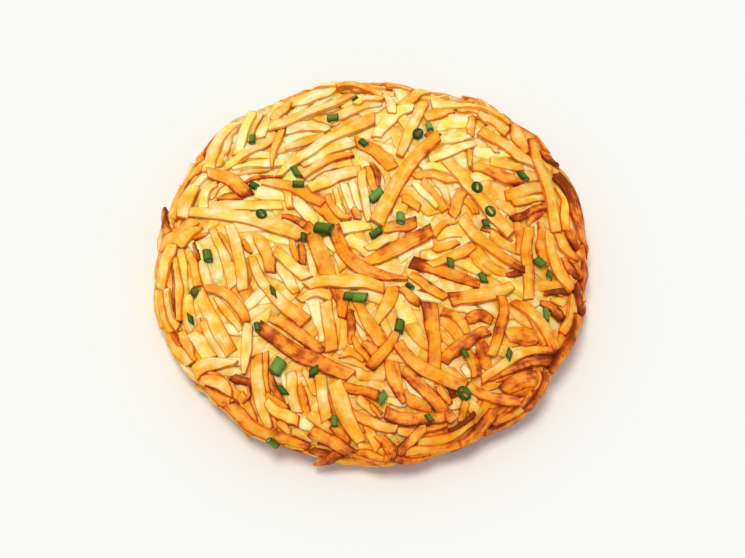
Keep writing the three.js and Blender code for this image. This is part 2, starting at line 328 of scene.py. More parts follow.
    (501, 293, 503, 316, 490, 354, 9, 11, 9, "664", 3),
    (531, 222, 529, 260, 529, 296, 10, 12, 11, "564", 3),
    (541, 222, 542, 243, 543, 264, 7, 11, 10, "555", 1),
    (536, 268, 543, 273, 548, 280, 12, 14, 8, "555", 0),
    (536, 285, 548, 285, 560, 287, 8, 10, 6, "444", 0),
    (546, 291, 558, 291, 572, 293, 4, 6, 5, "799", 1),
    (551, 298, 559, 300, 567, 304, 3, 7, 8, "334", 1),
    (541, 301, 553, 307, 564, 318, 6, 9, 8, "878", 1),
    (551, 229, 558, 258, 574, 290, 9, 11, 10, "345", 3),
    (561, 229, 570, 247, 580, 261, 8, 9, 8, "448", 2),
    (565, 256, 571, 268, 577, 281, 6, 7, 5, "469", 1),
    (571, 259, 575, 266, 577, 276, 5, 6, 4, "577", 1),
    (581, 245, 584, 265, 582, 287, 8, 8, 6, "577", 1),
    (587, 242, 588, 250, 587, 260, 4, 6, 3, "988", 1),
    (576, 283, 583, 297, 586, 311, 5, 8, 6, "889", 3),
    (513, 298, 541, 318, 560, 352, 7, 14, 10, "647", 3),
    (524, 307, 537, 323, 546, 345, 5, 8, 8, "345", 2),
    (512, 308, 520, 315, 530, 322, 9, 13, 8, "344", 0),
    (506, 336, 522, 336, 541, 340, 14, 18, 12, "467", 0),
    (574, 294, 574, 312, 564, 333, 8, 10, 8, "446", 2),
    (580, 314, 573, 342, 554, 373, 9, 9, 5, "677", 3),
    (483, 377, 520, 353, 555, 351, 9, 10, 7, "437", 3),
    (490, 378, 520, 365, 554, 361, 6, 10, 11, "678", 2),
    (497, 381, 515, 374, 533, 370, 4, 6, 5, "579", 1),
    (503, 389, 519, 382, 537, 377, 10, 18, 13, "667", 1),
    (539, 371, 539, 380, 533, 391, 5, 6, 5, "556", 1),
    (548, 373, 541, 391, 526, 411, 8, 9, 8, "777", 2),
    (517, 395, 526, 391, 534, 386, 6, 8, 6, "777", 0),
    (560, 356, 557, 363, 553, 371, 5, 6, 4, "778", 1),
    # lower right
    (468, 382, 488, 395, 521, 401, 9, 11, 9, "556", 3),
    (495, 408, 484, 428, 462, 446, 9, 11, 8, "665", 3),
    (530, 393, 513, 413, 492, 424, 8, 9, 9, "555", 1),
    (528, 412, 511, 423, 485, 433, 8, 9, 8, "565", 1),
    (418, 441, 447, 437, 476, 423, 8, 10, 6, "445", 2),
    (424, 430, 436, 428, 448, 424, 7, 8, 5, "564", 1),
    (448, 431, 466, 424, 477, 411, 3, 5, 4, "999", 3),
    (405, 454, 432, 450, 464, 448, 8, 9, 7, "455", 2),
    (384, 460, 405, 461, 430, 459, 6, 8, 8, "667", 2),
    (427, 427, 413, 440, 398, 456, 9, 10, 8, "458", 3),
    (385, 410, 412, 419, 447, 416, 13, 13, 11, "667", 3),
    (403, 368, 426, 391, 455, 421, 11, 13, 10, "665", 2),
    (408, 380, 413, 388, 417, 396, 8, 10, 7, "111", 0),
    (408, 398, 416, 402, 424, 406, 10, 12, 8, "555", 0),
    (437, 384, 445, 394, 452, 404, 7, 8, 5, "556", 1),
    (446, 385, 452, 392, 456, 402, 6, 7, 4, "999", 0),
    (466, 402, 464, 412, 462, 422, 8, 8, 7, "444", 1),
    (452, 405, 460, 402, 470, 400, 8, 12, 10, "222", 0),
    (470, 404, 476, 410, 484, 414, 8, 12, 10, "334", 0),
    (474, 424, 481, 413, 487, 402, 8, 10, 8, "555", 0),
    (466, 349, 474, 360, 477, 375, 9, 11, 11, "567", 2),
    (447, 366, 455, 364, 464, 372, 8, 12, 10, "222", 0),
    (462, 365, 467, 372, 471, 378, 7, 8, 6, "111", 1),
    (487, 386, 494, 384, 500, 382, 8, 10, 8, "444", 0),
    # lower middle
    (258, 323, 294, 350, 351, 373, 13, 15, 13, "875", 3),
    (268, 315, 300, 333, 321, 352, 8, 13, 12, "567", 2),
    (251, 253, 272, 290, 306, 320, 8, 12, 16, "536", 3),
    (257, 233, 266, 252, 271, 271, 11, 13, 11, "457", 2),
    (273, 248, 289, 262, 306, 278, 12, 13, 12, "723", 2),
    (275, 262, 285, 275, 297, 293, 10, 12, 8, "224", 1),
    (307, 250, 311, 262, 313, 277, 6, 8, 9, "421", 1),
    (305, 283, 344, 277, 384, 286, 9, 16, 11, "434", 3),
    (297, 296, 315, 291, 332, 294, 5, 10, 9, "334", 2),
    (336, 288, 342, 301, 342, 316, 12, 12, 8, "668", 2),
    (326, 300, 329, 325, 331, 350, 12, 13, 13, "446", 2),
    (312, 302, 318, 322, 322, 343, 14, 10, 6, "010", 0),
    (351, 310, 351, 330, 353, 343, 9, 8, 8, "875", 1),
    (343, 316, 343, 334, 342, 350, 7, 8, 9, "433", 0),
    (357, 312, 360, 326, 366, 342, 5, 8, 4, "222", 0),
    (305, 223, 318, 247, 328, 273, 11, 17, 16, "865", 2),
    (299, 243, 303, 252, 303, 263, 5, 8, 7, "677", 1),
    (291, 238, 294, 250, 299, 262, 6, 7, 5, "656", 1),
    (335, 242, 339, 255, 342, 268, 8, 9, 8, "515", 0),
    (290, 372, 293, 392, 297, 412, 10, 12, 11, "232", 1),
    (300, 388, 303, 402, 306, 415, 8, 12, 13, "565", 0),
    (303, 367, 310, 380, 315, 395, 6, 8, 6, "444", 1),
    (320, 373, 323, 398, 326, 421, 12, 12, 12, "434", 2),
    (335, 380, 346, 412, 360, 444, 15, 17, 10, "344", 3),
    (329, 392, 332, 405, 337, 418, 4, 5, 4, "766", 1),
    (299, 420, 306, 422, 314, 426, 8, 14, 8, "214", 0),
    (314, 418, 322, 424, 331, 430, 10, 12, 8, "333", 0),
    (309, 429, 331, 441, 350, 456, 13, 14, 12, "668", 3),
    (331, 426, 340, 434, 349, 444, 8, 9, 6, "666", 1),
    (319, 467, 328, 462, 340, 456, 10, 10, 9, "677", 4),
    (310, 451, 326, 456, 343, 461, 6, 7, 4, "888", 1),
    (347, 459, 364, 461, 384, 461, 5, 9, 7, "665", 1),
    (357, 452, 370, 455, 384, 460, 6, 8, 6, "666", 1),
    (377, 435, 387, 447, 395, 459, 8, 11, 9, "567", 2),
    (366, 425, 372, 437, 378, 450, 9, 11, 10, "445", 1),
    (386, 432, 393, 440, 400, 449, 5, 7, 4, "524", 1),
    (348, 406, 370, 422, 398, 428, 8, 11, 9, "744", 2),
    (358, 397, 368, 405, 380, 414, 8, 10, 8, "344", 1),
    (370, 402, 376, 409, 383, 417, 4, 5, 3, "555", 2),
    (384, 399, 391, 401, 399, 402, 6, 8, 6, "221", 0),
    (343, 384, 361, 390, 379, 395, 9, 10, 11, "668", 2),
    (391, 358, 395, 379, 405, 401, 14, 14, 5, "656", 3),
    (356, 373, 372, 372, 388, 374, 14, 18, 14, "333", 0),
    (374, 386, 382, 388, 389, 393, 8, 10, 7, "332", 0),
    (343, 357, 350, 353, 364, 361, 7, 7, 4, "655", 1),
    (346, 361, 355, 362, 366, 367, 6, 8, 6, "344", 0),
    (363, 341, 370, 348, 376, 356, 8, 12, 10, "668", 1),
    (353, 335, 359, 348, 369, 362, 6, 7, 4, "665", 2),
)
# Layers 0 to 4: lift of the skin on which the image's pixels place their shreds, how far these
# press into what is under them, how far they stay below the pressed lift, and how crisp they are.
LAYER_LIFT = np.array([0, 1.6, 3.2, 4.8, 3.2]) * MM
LAYER_PRESS = np.array([1.2, 0.9, 0.7, 0.4, 0.7]) * MM
LAYER_ROOM = np.array([2.0, 1.0, 0.2, -0.6, 0.6]) * MM
LAYER_KEEN = np.array([0.65, 0.9, 1.0, 1.0, 1.0])
RIM_SPRING = 2.5 * MM  # how far those of layer 4 stand off the rim

# One row for each snip of chive: middle in image pixels, length and width in pixels, heading in
# degrees clockwise from the image's right, slant of its cuts, and how light its green is, 0 to 9.
SEEN_SNIPS = (
    (333, 114, 12, 8, -5, 0.1, 4),
    (355, 96, 7, 4, -25, 0.1, 0),
    (252, 137, 13, 7, 93, 0.1, 4),
    (295, 168, 13, 7, 60, 0.5, 3),
    (253, 183, 9, 7, 30, 0.1, 1),
    (297, 183, 12, 8, -3, 0.1, 3),
    (323, 228, 18, 13, 8, 0.2, 2),
    (303, 236, 9, 6, 95, 0.2, 1),
    (206, 254, 15, 9, 80, 0.2, 3),
    (189, 317, 14, 6, 80, 1.1, 1),
    (273, 290, 13, 5, 75, 1.2, 1),
    (348, 294, 11, 9, 5, 0.2, 3),
    (360, 296, 15, 10, -3, 0.3, 5),
    (257, 325, 11, 6, 75, 0.2, 2),
    (277, 365, 16, 13, 121, 0.1, 6),
    (313, 370, 12, 8, -35, 0.6, 1),
    (281, 388, 14, 6, 58, 0.8, 1),
    (333, 421, 11, 6, 88, 0.1, 4),
    (272, 444, 12, 8, 52, 0.2, 4),
    (381, 396, 12, 8, -50, 0.4, 5),
    (429, 418, 9, 6, 50, 0.3, 2),
    (466, 351, 9, 6, 60, 0.3, 2),
    (511, 353, 14, 6, 104, 0.9, 2),
    (400, 324, 15, 9, 98, 0.2, 2),
    (410, 285, 8, 6, 45, 0.2, 0),
    (450, 260, 10, 7, 80, 0.3, 3),
    (484, 274, 11, 7, 60, 0.4, 3),
    (540, 260, 12, 9, 30, 0.2, 3),
    (552, 272, 10, 7, 110, 0.5, 2),
    (549, 310, 14, 6, 80, 0.3, 5),
    (377, 191, 17, 9, -40, 0.2, 6),
    (363, 139, 9, 7, 35, 0.1, 1),
    (430, 123, 12, 7, 80, 0.1, 8),
    (486, 221, 11, 7, 80, 0.2, 2),
    (523, 173, 12, 8, 45, 0.3, 2),
    (400, 218, 14, 9, 92, 0.1, 7),
    (377, 230, 14, 9, -30, 0.2, 2),
)
# One row for each snip that stands on its cut end: middle, diameter, heading of its slit, and how
# light its green is.
SEEN_RINGS = (
    (260, 211, 13, 50, 2),
    (193, 289, 11, 60, 5),
    (418, 130, 13, -50, 1),
    (477, 185, 14, 86, 2),
    (491, 208, 13, 62, 5),
    (465, 392, 15, 52, 4),
)

# ---- Small tools ------------------------------------------------------------------------


def to_linear(code):
    """sRGB hex code to linear RGB: values above 0.04 follow the 2.4 power curve."""
    value = np.array([int(code[i : i + 2], 16) / 255 for i in (1, 3, 5)])
    curve = np.where(value > 0.04045, ((value + 0.055) / 1.055) ** 2.4, value / 12.92)
    return tuple(map(float, curve))


def unit(vectors):
    """Vectors divided by their length, along the last axis."""
    return vectors / np.maximum(np.linalg.norm(vectors, axis=-1, keepdims=True), 1e-12)


def pointing(angle):
    """Unit vectors in the plane: the cosine and the sine of each angle."""
    return np.stack([np.cos(angle), np.sin(angle)], -1)


def leftward(ahead):
    """Vectors in the plane turned a quarter to the left."""
    return np.stack([-ahead[..., 1], ahead[..., 0]], -1)


def eased(values, passes):
    """Each row moved halfway towards the mean of its two neighbours, several times over."""
    for _ in range(passes):
        wide = np.concatenate([values[:1], values, values[-1:]])
        values = (wide[:-2] + 2 * values + wide[2:]) / 4
    return values


def eased_both_ways(grid):
    """A grid eased once along its rows and once along its columns."""
    return eased(eased(grid, 1).T, 1).T


def sunflower(number, reach):
    """Places spread evenly over a disc: each a golden angle on, the square of its reach growing."""
    step = np.arange(number)
    return reach * np.sqrt((step + 0.5) / number), step * GOLDEN_ANGLE


# ---- The skin ---------------------------------------------------------------------------


def superellipse_side():
    """Distance walked down the side, share of the plan radius and height, in even steps.

    From the top's middle to the pan: out is the cosine and up the sine of a turning angle, each
    raised to two over its power, with one height above the waist and another below it.
    """
    turn = np.arange(np.pi / 2, -np.pi / 2, -0.002)
    rise = np.sign(np.sin(turn)) * np.abs(np.sin(turn)) ** (2 / HEIGHT_POWER)
    out = np.maximum(np.cos(turn), 0) ** (2 / PLAN_POWER)
    up = WAIST + np.where(rise > 0, CORE_HEIGHT - WAIST, BELLY) * rise
    keep = up >= 0
    out, up = out[keep], up[keep]
    stretch = np.hypot(np.diff(out * CORE_RADIUS), np.diff(up))
    walked = np.concatenate(([0], np.cumsum(stretch)))
    even = np.linspace(0, walked[-1], 900)
    return even, np.interp(even, walked, out), np.interp(even, walked, up)


WALKED, SIDE_OUT, SIDE_UP = superellipse_side()
EDGE = WALKED[-1]  # distance walked from the middle of the top to the pan
SLOPE_PASSES = 30  # how often the profile's slopes are eased, so that no corner shows
OUT_SLOPE = eased(np.gradient(SIDE_OUT * CORE_RADIUS, WALKED), SLOPE_PASSES)
UP_SLOPE = eased(np.gradient(SIDE_UP, WALKED), SLOPE_PASSES)


def rim_radius(angle):
    """Plan radius in a direction: the core's radius plus one cosine for each slow wave and one
    narrow bell for each bulge."""
    waves = (swell * MM * np.cos(n * angle - np.radians(way)) for n, swell, way in RIM_WAVES)
    bells = (
        swell * MM * np.exp((np.cos(angle - np.radians(way)) - 1) / BULGE_REACH**2)
        for swell, way in RIM_BULGES
    )
    return CORE_RADIUS + sum(waves) + sum(bells)


def skin(place, lift):
    """Points and normals of the cake's skin, lifted along its normal.

    A place is the skin laid flat, as a walk over the top from its middle: its distance picks the
    point on the side's profile and its direction the plan radius.
    """
    walked = np.minimum(np.hypot(place[..., 0], place[..., 1]), EDGE)
    angle = np.arctan2(place[..., 1], place[..., 0])
    reach = np.interp(walked, WALKED, SIDE_OUT) * rim_radius(angle)
    height = np.interp(walked, WALKED, SIDE_UP)
    rise = -np.interp(walked, WALKED, UP_SLOPE)
    facing = np.interp(walked, WALKED, OUT_SLOPE)
    spin = pointing(angle)
    normal = unit(np.concatenate([spin * rise[..., None], facing[..., None]], -1))
    point = np.concatenate([spin * reach[..., None], height[..., None]], -1)
    return point + normal * np.asarray(lift)[..., None], normal


def by_side(values, walked):
    """A value for the top and one for the side, with an even passage over the shoulder."""
    return np.interp(walked, EDGE - np.array(SHOULDER), values)


def lumps(place):
    """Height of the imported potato's lumps: a sum of plane waves in even directions."""
    rng = np.random.default_rng(5)
    lengths, phases = rng.uniform(*LUMP_LENGTHS, LUMPS) * MM, rng.uniform(0, TURN, LUMPS)
    total = np.zeros(place.shape[:-1])
    for way, length, phase in zip(np.arange(LUMPS) * GOLDEN_ANGLE, lengths, phases):
        along = place[..., 0] * np.cos(way) + place[..., 1] * np.sin(way)
        total += np.sin(TURN * along / length + phase)
    return total * LUMP_HEIGHT * MM


def in_image(points):
    """Image pixels of points: a pinhole at the camera's place, looking along its axis."""
    view = points - CAMERA_PLACE
    depth = -(view @ CAMERA_BACK)
    across = IMAGE_WIDTH / 2 + FOCAL_PIXELS * view[..., 0] / depth
    down = IMAGE_HEIGHT / 2 - FOCAL_PIXELS * (view @ CAMERA_UP) / depth
    return np.stack([across, down], -1)


def seen_places(pixels, lift):
    """Where on the lifted skin the camera sees each pixel: the nearest of a fine grid of its
    points that face the camera."""
    ticks = np.arange(-EDGE, EDGE, 0.45 * MM)
    grid = np.stack(np.meshgrid(ticks, ticks), -1).reshape(-1, 2)
    grid = grid[np.hypot(*grid.T) < EDGE]
    points, normals = skin(grid, lift)
    faces_camera = ((CAMERA_PLACE - points) * normals).sum(-1) > 0
    grid, spots = grid[faces_camera], in_image(points[faces_camera])
    nearest = [((spots - pixel) ** 2).sum(-1).argmin() for pixel in pixels.reshape(-1, 2)]
    return grid[nearest].reshape(pixels.shape)


# ---- The pile ---------------------------------------------------------------------------


class Pile:
    """How high the potato laid so far reaches above the skin, over a grid of places, and how
    browned it is there."""

    step = 0.5 * MM
    reach = EDGE + 6 * MM

    def __init__(self):
        ticks = np.arange(-self.reach, self.reach, self.step)
        places = np.stack(np.meshgrid(ticks, ticks, indexing="ij"), -1)
        self.height = by_side(BED, np.hypot(places[..., 0], places[..., 1])) + lumps(places)
        self.tone = np.full_like(self.height, 1.0)

    def cell(self, place):
        """Row and column of the grid's nearest cell."""
        index = np.rint((place + self.reach) / self.step).astype(int)
        index = np.clip(index, 0, self.height.shape[0] - 1)
        return index[..., 0], index[..., 1]

    def emboss(self, place, top, tone):
        """Raises the potato where it is lower than the top, and browns it there."""
        rows, columns = self.cell(place)
        higher = top > self.height[rows, columns]
        self.height[rows[higher], columns[higher]] = top[higher]
        self.tone[rows[higher], columns[higher]] = tone

    def sample(self, grid, place):
        """A grid's values between its cells, each the weighted mean of the four around it."""
        at = np.clip((place + self.reach) / self.step, 0, grid.shape[0] - 2)
        low = at.astype(int)
        row, column = low[..., 0], low[..., 1]
        down, across = np.moveaxis(at - low, -1, 0)
        first, second = (
            grid[line, column] * (1 - across) + grid[line, column + 1] * across
            for line in (row, row + 1)
        )
        return first * (1 - down) + second * down


pile = Pile()

KNOTS = 20  # places at which a shred's course is worked out
FINER = 6  # fine steps a knot, to draw it on the pile
SPREAD = np.linspace(-1, 1, 15)  # fine steps across it, in half widths
FEELERS = np.array([-0.85, -0.4, 0.0, 0.4, 0.85])  # where it feels what is under it, likewise
MOST_ROLL = 0.3  # radians
SAG_PASSES, CLING_PASSES = 12, 4  # how often its rest is eased where it spans and where it dips
FLATTENED, SUNK = 0.8 * MM, 0.25 * MM  # height of a shred pressed into the bed, and its sinking


def course(start, middle, end, wobble, phase):
    """A shred's course over the map: the parabola through three places, in even steps.

    It sways aside by a sine wave, and is spaced evenly by the distance along it.
    """
    share = np.linspace(0, 1, 5 * KNOTS)[:, None]
    bend = 2 * middle - (start + end) / 2
    line = (1 - share) ** 2 * start + 2 * share * (1 - share) * bend + share**2 * end
    sway = wobble * np.sin(TURN * 1.2 * share + phase)
    line = line + sway * leftward(unit(end - start))
    walked = np.concatenate(([0], np.cumsum(np.linalg.norm(np.diff(line, axis=0), axis=1))))
    even = np.linspace(0, walked[-1], KNOTS)
    return np.stack([np.interp(even, walked, line[:, i]) for i in (0, 1)], -1)


def finer(values):
    """Knot values in finer steps along the course."""
    return np.interp(np.linspace(0, KNOTS - 1, FINER * KNOTS), np.arange(KNOTS), values)


def through(values, share):
    """Values along a shred: the parabola through those of its start, middle and end."""
    start, middle, end = (values[..., i, None] for i in range(3))
    rising, falling = share * (2 * share - 1), (1 - share) * (1 - 2 * share)
    return start * falling + middle * 4 * share * (1 - share) + end * rising


def footprint(line, half_width):
    """Places that a shred covers: fine steps along its course, spread to both sides."""
    line = np.stack([finer(line[:, 0]), finer(line[:, 1])], -1)
    aside = leftward(unit(np.gradient(line, axis=0)))
    return line[:, None] + aside[:, None] * (finer(half_width)[:, None] * SPREAD)[..., None]


def emboss_bed(courses, half_widths, tones):
    """Presses flattened shreds into the bed: low strips with worn shoulders, the height falling
    off by the sixth power of the way to the side."""
    for line, half_width, tone in zip(courses, half_widths, tones):
        base = finer(eased(pile.height[pile.cell(line)], 8))[:, None] - SUNK
        top = base + FLATTENED * (1 - SPREAD**6)
        pile.emboss(footprint(line, np.full(KNOTS, half_width)), top, tone)
    pile.height = eased_both_ways(pile.height)
    pile.tone = eased_both_ways(pile.tone)


def lay_on_pile(line, half_width, thickness, press, room):
    """Lift and roll of a shred that sags onto the pile, and raises it.

    It leans with what is under its two sides, rests between the mean and the highest of what is
    under it, eased along its length, and is pressed down a little. It is pressed down further
    where it would come nearer than its room to the pan.
    """
    aside = leftward(unit(np.gradient(line, axis=0)))
    offsets = FEELERS * half_width[:, None]
    under = pile.height[pile.cell(line[:, None] + aside[:, None] * offsets[..., None])]
    lean = (under[:, 3:].mean(1) - under[:, :2].mean(1)) / (1.25 * half_width)
    roll = eased(np.clip(np.arctan(lean), -MOST_ROLL, MOST_ROLL), 6)
    level = under - np.tan(roll)[:, None] * offsets
    rest = 0.6 * level.max(1) + 0.4 * level.mean(1)
    lift = np.maximum(eased(rest, SAG_PASSES), 0.6 * rest + 0.4 * eased(rest, CLING_PASSES)) - press
    most = by_side(PRESSED, np.hypot(line[:, 0], line[:, 1])) - thickness - room
    lift = eased(np.minimum(lift, most + 0.25 * np.maximum(lift - most, 0)), 3)
    top = finer(lift + thickness)[:, None] + finer(np.tan(roll) * half_width)[:, None] * SPREAD
    np.maximum.at(pile.height, pile.cell(footprint(line, half_width)), top)
    return lift, roll


# ---- Shreds as meshes -------------------------------------------------------------------

CRISP_EDGE = 0.56 * MM  # width of the browned line along a shred's edges
CORNER = 0.22 * MM
UNDER_NARROW = 0.92  # width of a shred's underside as a share of its top
WAVER_ASIDE = 0.1 * MM
WAVER_WIDE, WAVER_THICK = 0.04, 0.08  # shares of its width and its thickness
UNEVEN = 0.16  # mm, of its top
END_THIN = 0.16  # share of its thickness that it loses towards its ends
CUT_WIDE, CUT_THICK = 0.93, 0.86  # shares of both that are left where it is cut
MOST_SLANT = 0.55  # slope of its cuts, away from square
END_RINGS = np.array([0.0, 0.18, 0.6]) * MM  # extra rings that shape its cut end
END_CRISP = (0.8, 1.0)  # crispness of the first two of them
LOOSE_FOOT = 0.5  # mm, the most that one reaching the pan stays above it
SIDE_SHADE = 1.1  # tones of painted shade across a shred: one edge darker than the middle, the other paler
RIM_TONES = (0.4, 1.7)  # tones by which both edges are browner than the middle
# Round a shred's section, across the top and back along the underside: height as a share of its
# thickness, and how crisp it is. The crispness browns the top's edges; on the side walls and the
# underside it is painted shade, darkening them as if in shadow between shreds.
RISE = np.array([0.62, 0.9, 1, 1.08, 1.08, 1, 0.9, 0.62, 0.28, 0.05, 0, 0, 0, 0, 0.05, 0.28])
CRISP_AND_WALL_SHADE = np.array([0.6, 1, 0.1, 0, 0, 0.1, 1, 0.6, 0.4, 0.45, 0.5, 0.5, 0.5, 0.5, 0.45, 0.4])
ROUND = len(RISE)
IS_TOP = np.arange(ROUND) < ROUND / 2
FLAT_THICK = 1.2 * MM  # thickness of the shreds pressed flat against the pan
TONE_STEPS = 9  # browning and lightness are told in steps from 0 to this


def with_ends(values):
    """Knot values as ring values: each end knot three times, for its cut and its corner."""
    first, last = np.repeat(values[:, :1], 3, 1), np.repeat(values[:, -1:], 3, 1)
    return np.concatenate([first, values[:, 1:-1], last], 1)


KNOT_SHARE = np.linspace(0, 1, KNOTS)  # how far along its shred each knot lies
RING_SHARE = with_ends(KNOT_SHARE[None])[0]


def browning(tones, share):
    """Browning along a shred: each half fades from its end to the middle by a power of the way."""
    start, middle, end = (tones[:, i, None] for i in range(3))
    first, last = np.clip(1 - 2 * share, 0, 1), np.clip(2 * share - 1, 0, 1)
    sharp = 1.4 + 0.3 * np.clip(np.abs(tones[:, [0, 2]] - tones[:, [1]]) - 1, 0, 3)
    from_start = (start - middle) * first ** sharp[:, :1]
    return middle + from_start + (end - middle) * last ** sharp[:, 1:]


def wavering(share, number, rng):
    """Unevenness along each shred: two sine waves of chance lengths and starts, within one."""
    total = 0
    for weight, low, high in ((0.6, 1.0, 2.2), (0.4, 3.0, 5.0)):
        waves = rng.uniform(low, high, (number, 1))
        starts = rng.uniform(0, TURN, (number, 1))
        total = total + weight * np.sin(TURN * waves * share + starts)
    return total


def round_marks(half, narrow):
    """Where the points of a shred's section lie across it: its rims, its corners, the inside of
    its crisp edges and two near its middle, then the same back along its narrower underside."""
    corner, crisp = np.minimum(CORNER, 0.25 * half), np.minimum(CRISP_EDGE, 0.55 * half)
    left = [-half, corner - half, crisp - half, -0.3 * half]
    top = np.stack(left + [-mark for mark in reversed(left)], -1)
    return np.concatenate([top, narrow * top[..., ::-1]], -1)


def loft_shreds(lines, lifts, rolls, widths, thicknesses, tones, rng):
    """Points, browning, crispness and grain of flat strips carried along their courses.

    A section is a flat bar with worn corners and a slightly crowned top. It wavers in width and
    thickness, thins towards its ends, and its ends are cut at a slant.
    """
    number, share = len(lines), RING_SHARE
    centre, normal = skin(lines, lifts)
    ahead = unit(np.gradient(centre, axis=1))
    across = unit(np.cross(normal, ahead))
    upward = np.cross(ahead, across)
    cosine, sine = np.cos(rolls)[..., None], np.sin(rolls)[..., None]
    across, upward = across * cosine + upward * sine, upward * cosine - across * sine
    centre, ahead, across, upward = map(with_ends, (centre, ahead, across, upward))
    inset = np.zeros(len(share))
    inset[:3], inset[-3:] = END_RINGS, -END_RINGS[::-1]
    centre = centre + ahead * inset[None, :, None]
    shift = rng.uniform(0, TURN, (number, 1)) * 20 * MM
    half = through(widths, share) / 2 * (1 + WAVER_WIDE * wavering(share, number, rng))
    half[:, [0, -1]] *= CUT_WIDE
    centre = centre + across * (WAVER_ASIDE * wavering(share, number, rng))[..., None]
    thick = thicknesses[:, None] * (1 - END_THIN * np.abs(2 * share - 1) ** 2)
    thick = thick * (1 + WAVER_THICK * wavering(share, number, rng))
    thick[:, [0, -1]] *= CUT_THICK
    side = round_marks(half, UNDER_NARROW)
    uneven = eased(rng.normal(0, UNEVEN, (len(share), number, ROUND)), 1)
    uneven = uneven.transpose(1, 0, 2) * MM
    rise = RISE * thick[..., None] + uneven * IS_TOP
    near_end = np.clip(np.abs(2 * share - 1) * 4 - 3, 0, 1)
    slant = rng.uniform(-MOST_SLANT, MOST_SLANT, (number, 2))
    slant = np.where(share < 0.5, slant[:, :1], slant[:, 1:]) * near_end
    points = (
        centre[:, :, None]
        + across[:, :, None] * side[..., None]
        + upward[:, :, None] * rise[..., None]
        + ahead[:, :, None] * (slant[..., None] * side)[..., None]
    )
    floor = PAN_GAP + rng.uniform(0, LOOSE_FOOT, (number, 1, 1)) * MM
    points[..., 2] = np.maximum(points[..., 2], floor)

    ring_crisp = np.zeros((len(share), 1))
    ring_crisp[:2, 0], ring_crisp[-2:, 0] = END_CRISP, END_CRISP[::-1]
    crisp = np.broadcast_to(np.maximum(CRISP_AND_WALL_SHADE, ring_crisp), side.shape)
    # The shred's browning, plus painted light and shade by its place.
    tone = (browning(tones, share) + with_ends(painted_light_shift(lines)))[..., None]
    # painted shade across the width: one edge darker and the other paler, to a side drawn at random
    lean = rng.uniform(-SIDE_SHADE, SIDE_SHADE, (number, 1, 1))
    rim = rng.uniform(*RIM_TONES, (number, 1, 1))
    way_out = side / np.maximum(half[..., None], 0.5 * MM)
    tone = tone + lean * way_out + rim * (way_out**2 - 0.1)
    length = np.linalg.norm(np.diff(lines, axis=1), axis=-1).sum(1)
    along = share[:, None] * length[:, None, None]
    grain = np.stack([np.broadcast_to(along, side.shape), side + shift[..., None]], -1)
    return points, tone, crisp, grain


def loft_flat(lines, depth, widths, tones):
    """Points, browning, crispness and grain of shreds pressed against the pan: the same bars laid
    in the plane, crowned face down."""
    aside = -leftward(unit(np.gradient(lines, axis=1)))
    side = round_marks(through(widths, KNOT_SHARE) / 2, 1)
    rise = FLAT_THICK * (1 - RISE / np.where(IS_TOP, RISE.max(), 1))
    flat = lines[:, :, None] + aside[:, :, None] * side[..., None]
    height = np.broadcast_to(PAN_GAP + depth[:, None, None] + rise, side.shape)
    crisp = np.broadcast_to(CRISP_AND_WALL_SHADE, side.shape).copy()
    crisp[:, [0, -1]] = 1.0
    tone = np.broadcast_to(browning(tones, KNOT_SHARE)[..., None], side.shape)
    along = np.broadcast_to(KNOT_SHARE[:, None] * 35 * MM, side.shape)
    grain = np.stack([along, side + depth[:, None, None] * 90], -1)
    return np.concatenate([flat, height[..., None]], -1), tone, crisp, grain


def grid_quads(rows, around, closed=False):
    """Quads between neighbouring rows of points. Each row is a closed ring, and in a closed grid
    the last row meets the first."""
    kept = np.arange(rows if closed else rows - 1)
    row, point = np.meshgrid(kept, np.arange(around), indexing="ij")
    next_row, next_point = (row + 1) % rows, (point + 1) % around
    corners = (row, point), (next_row, point), (next_row, next_point), (row, next_point)
    return np.stack([at * around + by for at, by in corners], -1).reshape(-1, 4)


def repeated(faces, number, size):
    """The faces of one form for each of many, every one with so many points."""
    return (np.arange(number)[:, None, None] * size + faces).reshape(-1, 4)


def add_mesh(name, points, face_sets, material, attributes, grain=None):
    """A smooth mesh of the object from arrays, riding on the frame and standing for its node."""
    mesh = bpy.data.meshes.new(name)
    corners = np.concatenate([faces.ravel() for faces in face_sets]).astype(np.int32)
    sides = np.concatenate([np.full(len(faces), faces.shape[1]) for faces in face_sets])
    mesh.vertices.add(points.size // 3)
    mesh.vertices.foreach_set("co", points.astype(np.float32).ravel())
    mesh.loops.add(len(corners))
    mesh.loops.foreach_set("vertex_index", corners)
    mesh.polygons.add(len(sides))
    starts = np.concatenate(([0], np.cumsum(sides)[:-1])).astype(np.int32)
    mesh.polygons.foreach_set("loop_start", starts)
    mesh.update(calc_edges=True)
    for key, values in attributes.items():
        layer = mesh.attributes.new(key, "FLOAT", "POINT")
        layer.data.foreach_set("value", values.astype(np.float32).ravel())
    if grain is not None:
        layer = mesh.uv_layers.new(name="grain")
        layer.data.foreach_set("uv", grain.reshape(-1, 2)[corners].astype(np.float32).ravel())
    mesh.shade_smooth()
    mesh.materials.append(material)
    piece = bpy.data.objects.new(name, mesh)
    bpy.context.scene.collection.objects.link(piece)
    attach(piece, "root")
    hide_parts("rosti")


def add_shreds(name, points, tone, crisp, grain):
    """One mesh of many closed strips: the sides wrap round each ring, and each end is a row of
    quads between its top and its underside."""
    number, rings = points.shape[:2]
    top = np.arange(ROUND // 2 - 1)
    cap = np.stack([top, top + 1, ROUND - 2 - top, ROUND - 1 - top], -1)
    far_cap = cap[:, ::-1] + (rings - 1) * ROUND
    strip = np.concatenate([grid_quads(rings, ROUND), cap, far_cap])
    faces = repeated(strip, number, rings * ROUND)
    maps = {"browning": tone / TONE_STEPS, "crisp": crisp}
    add_mesh(name, points, [faces], fried_potato(), maps, grain)


NO_SPRING = np.zeros((1, 2))


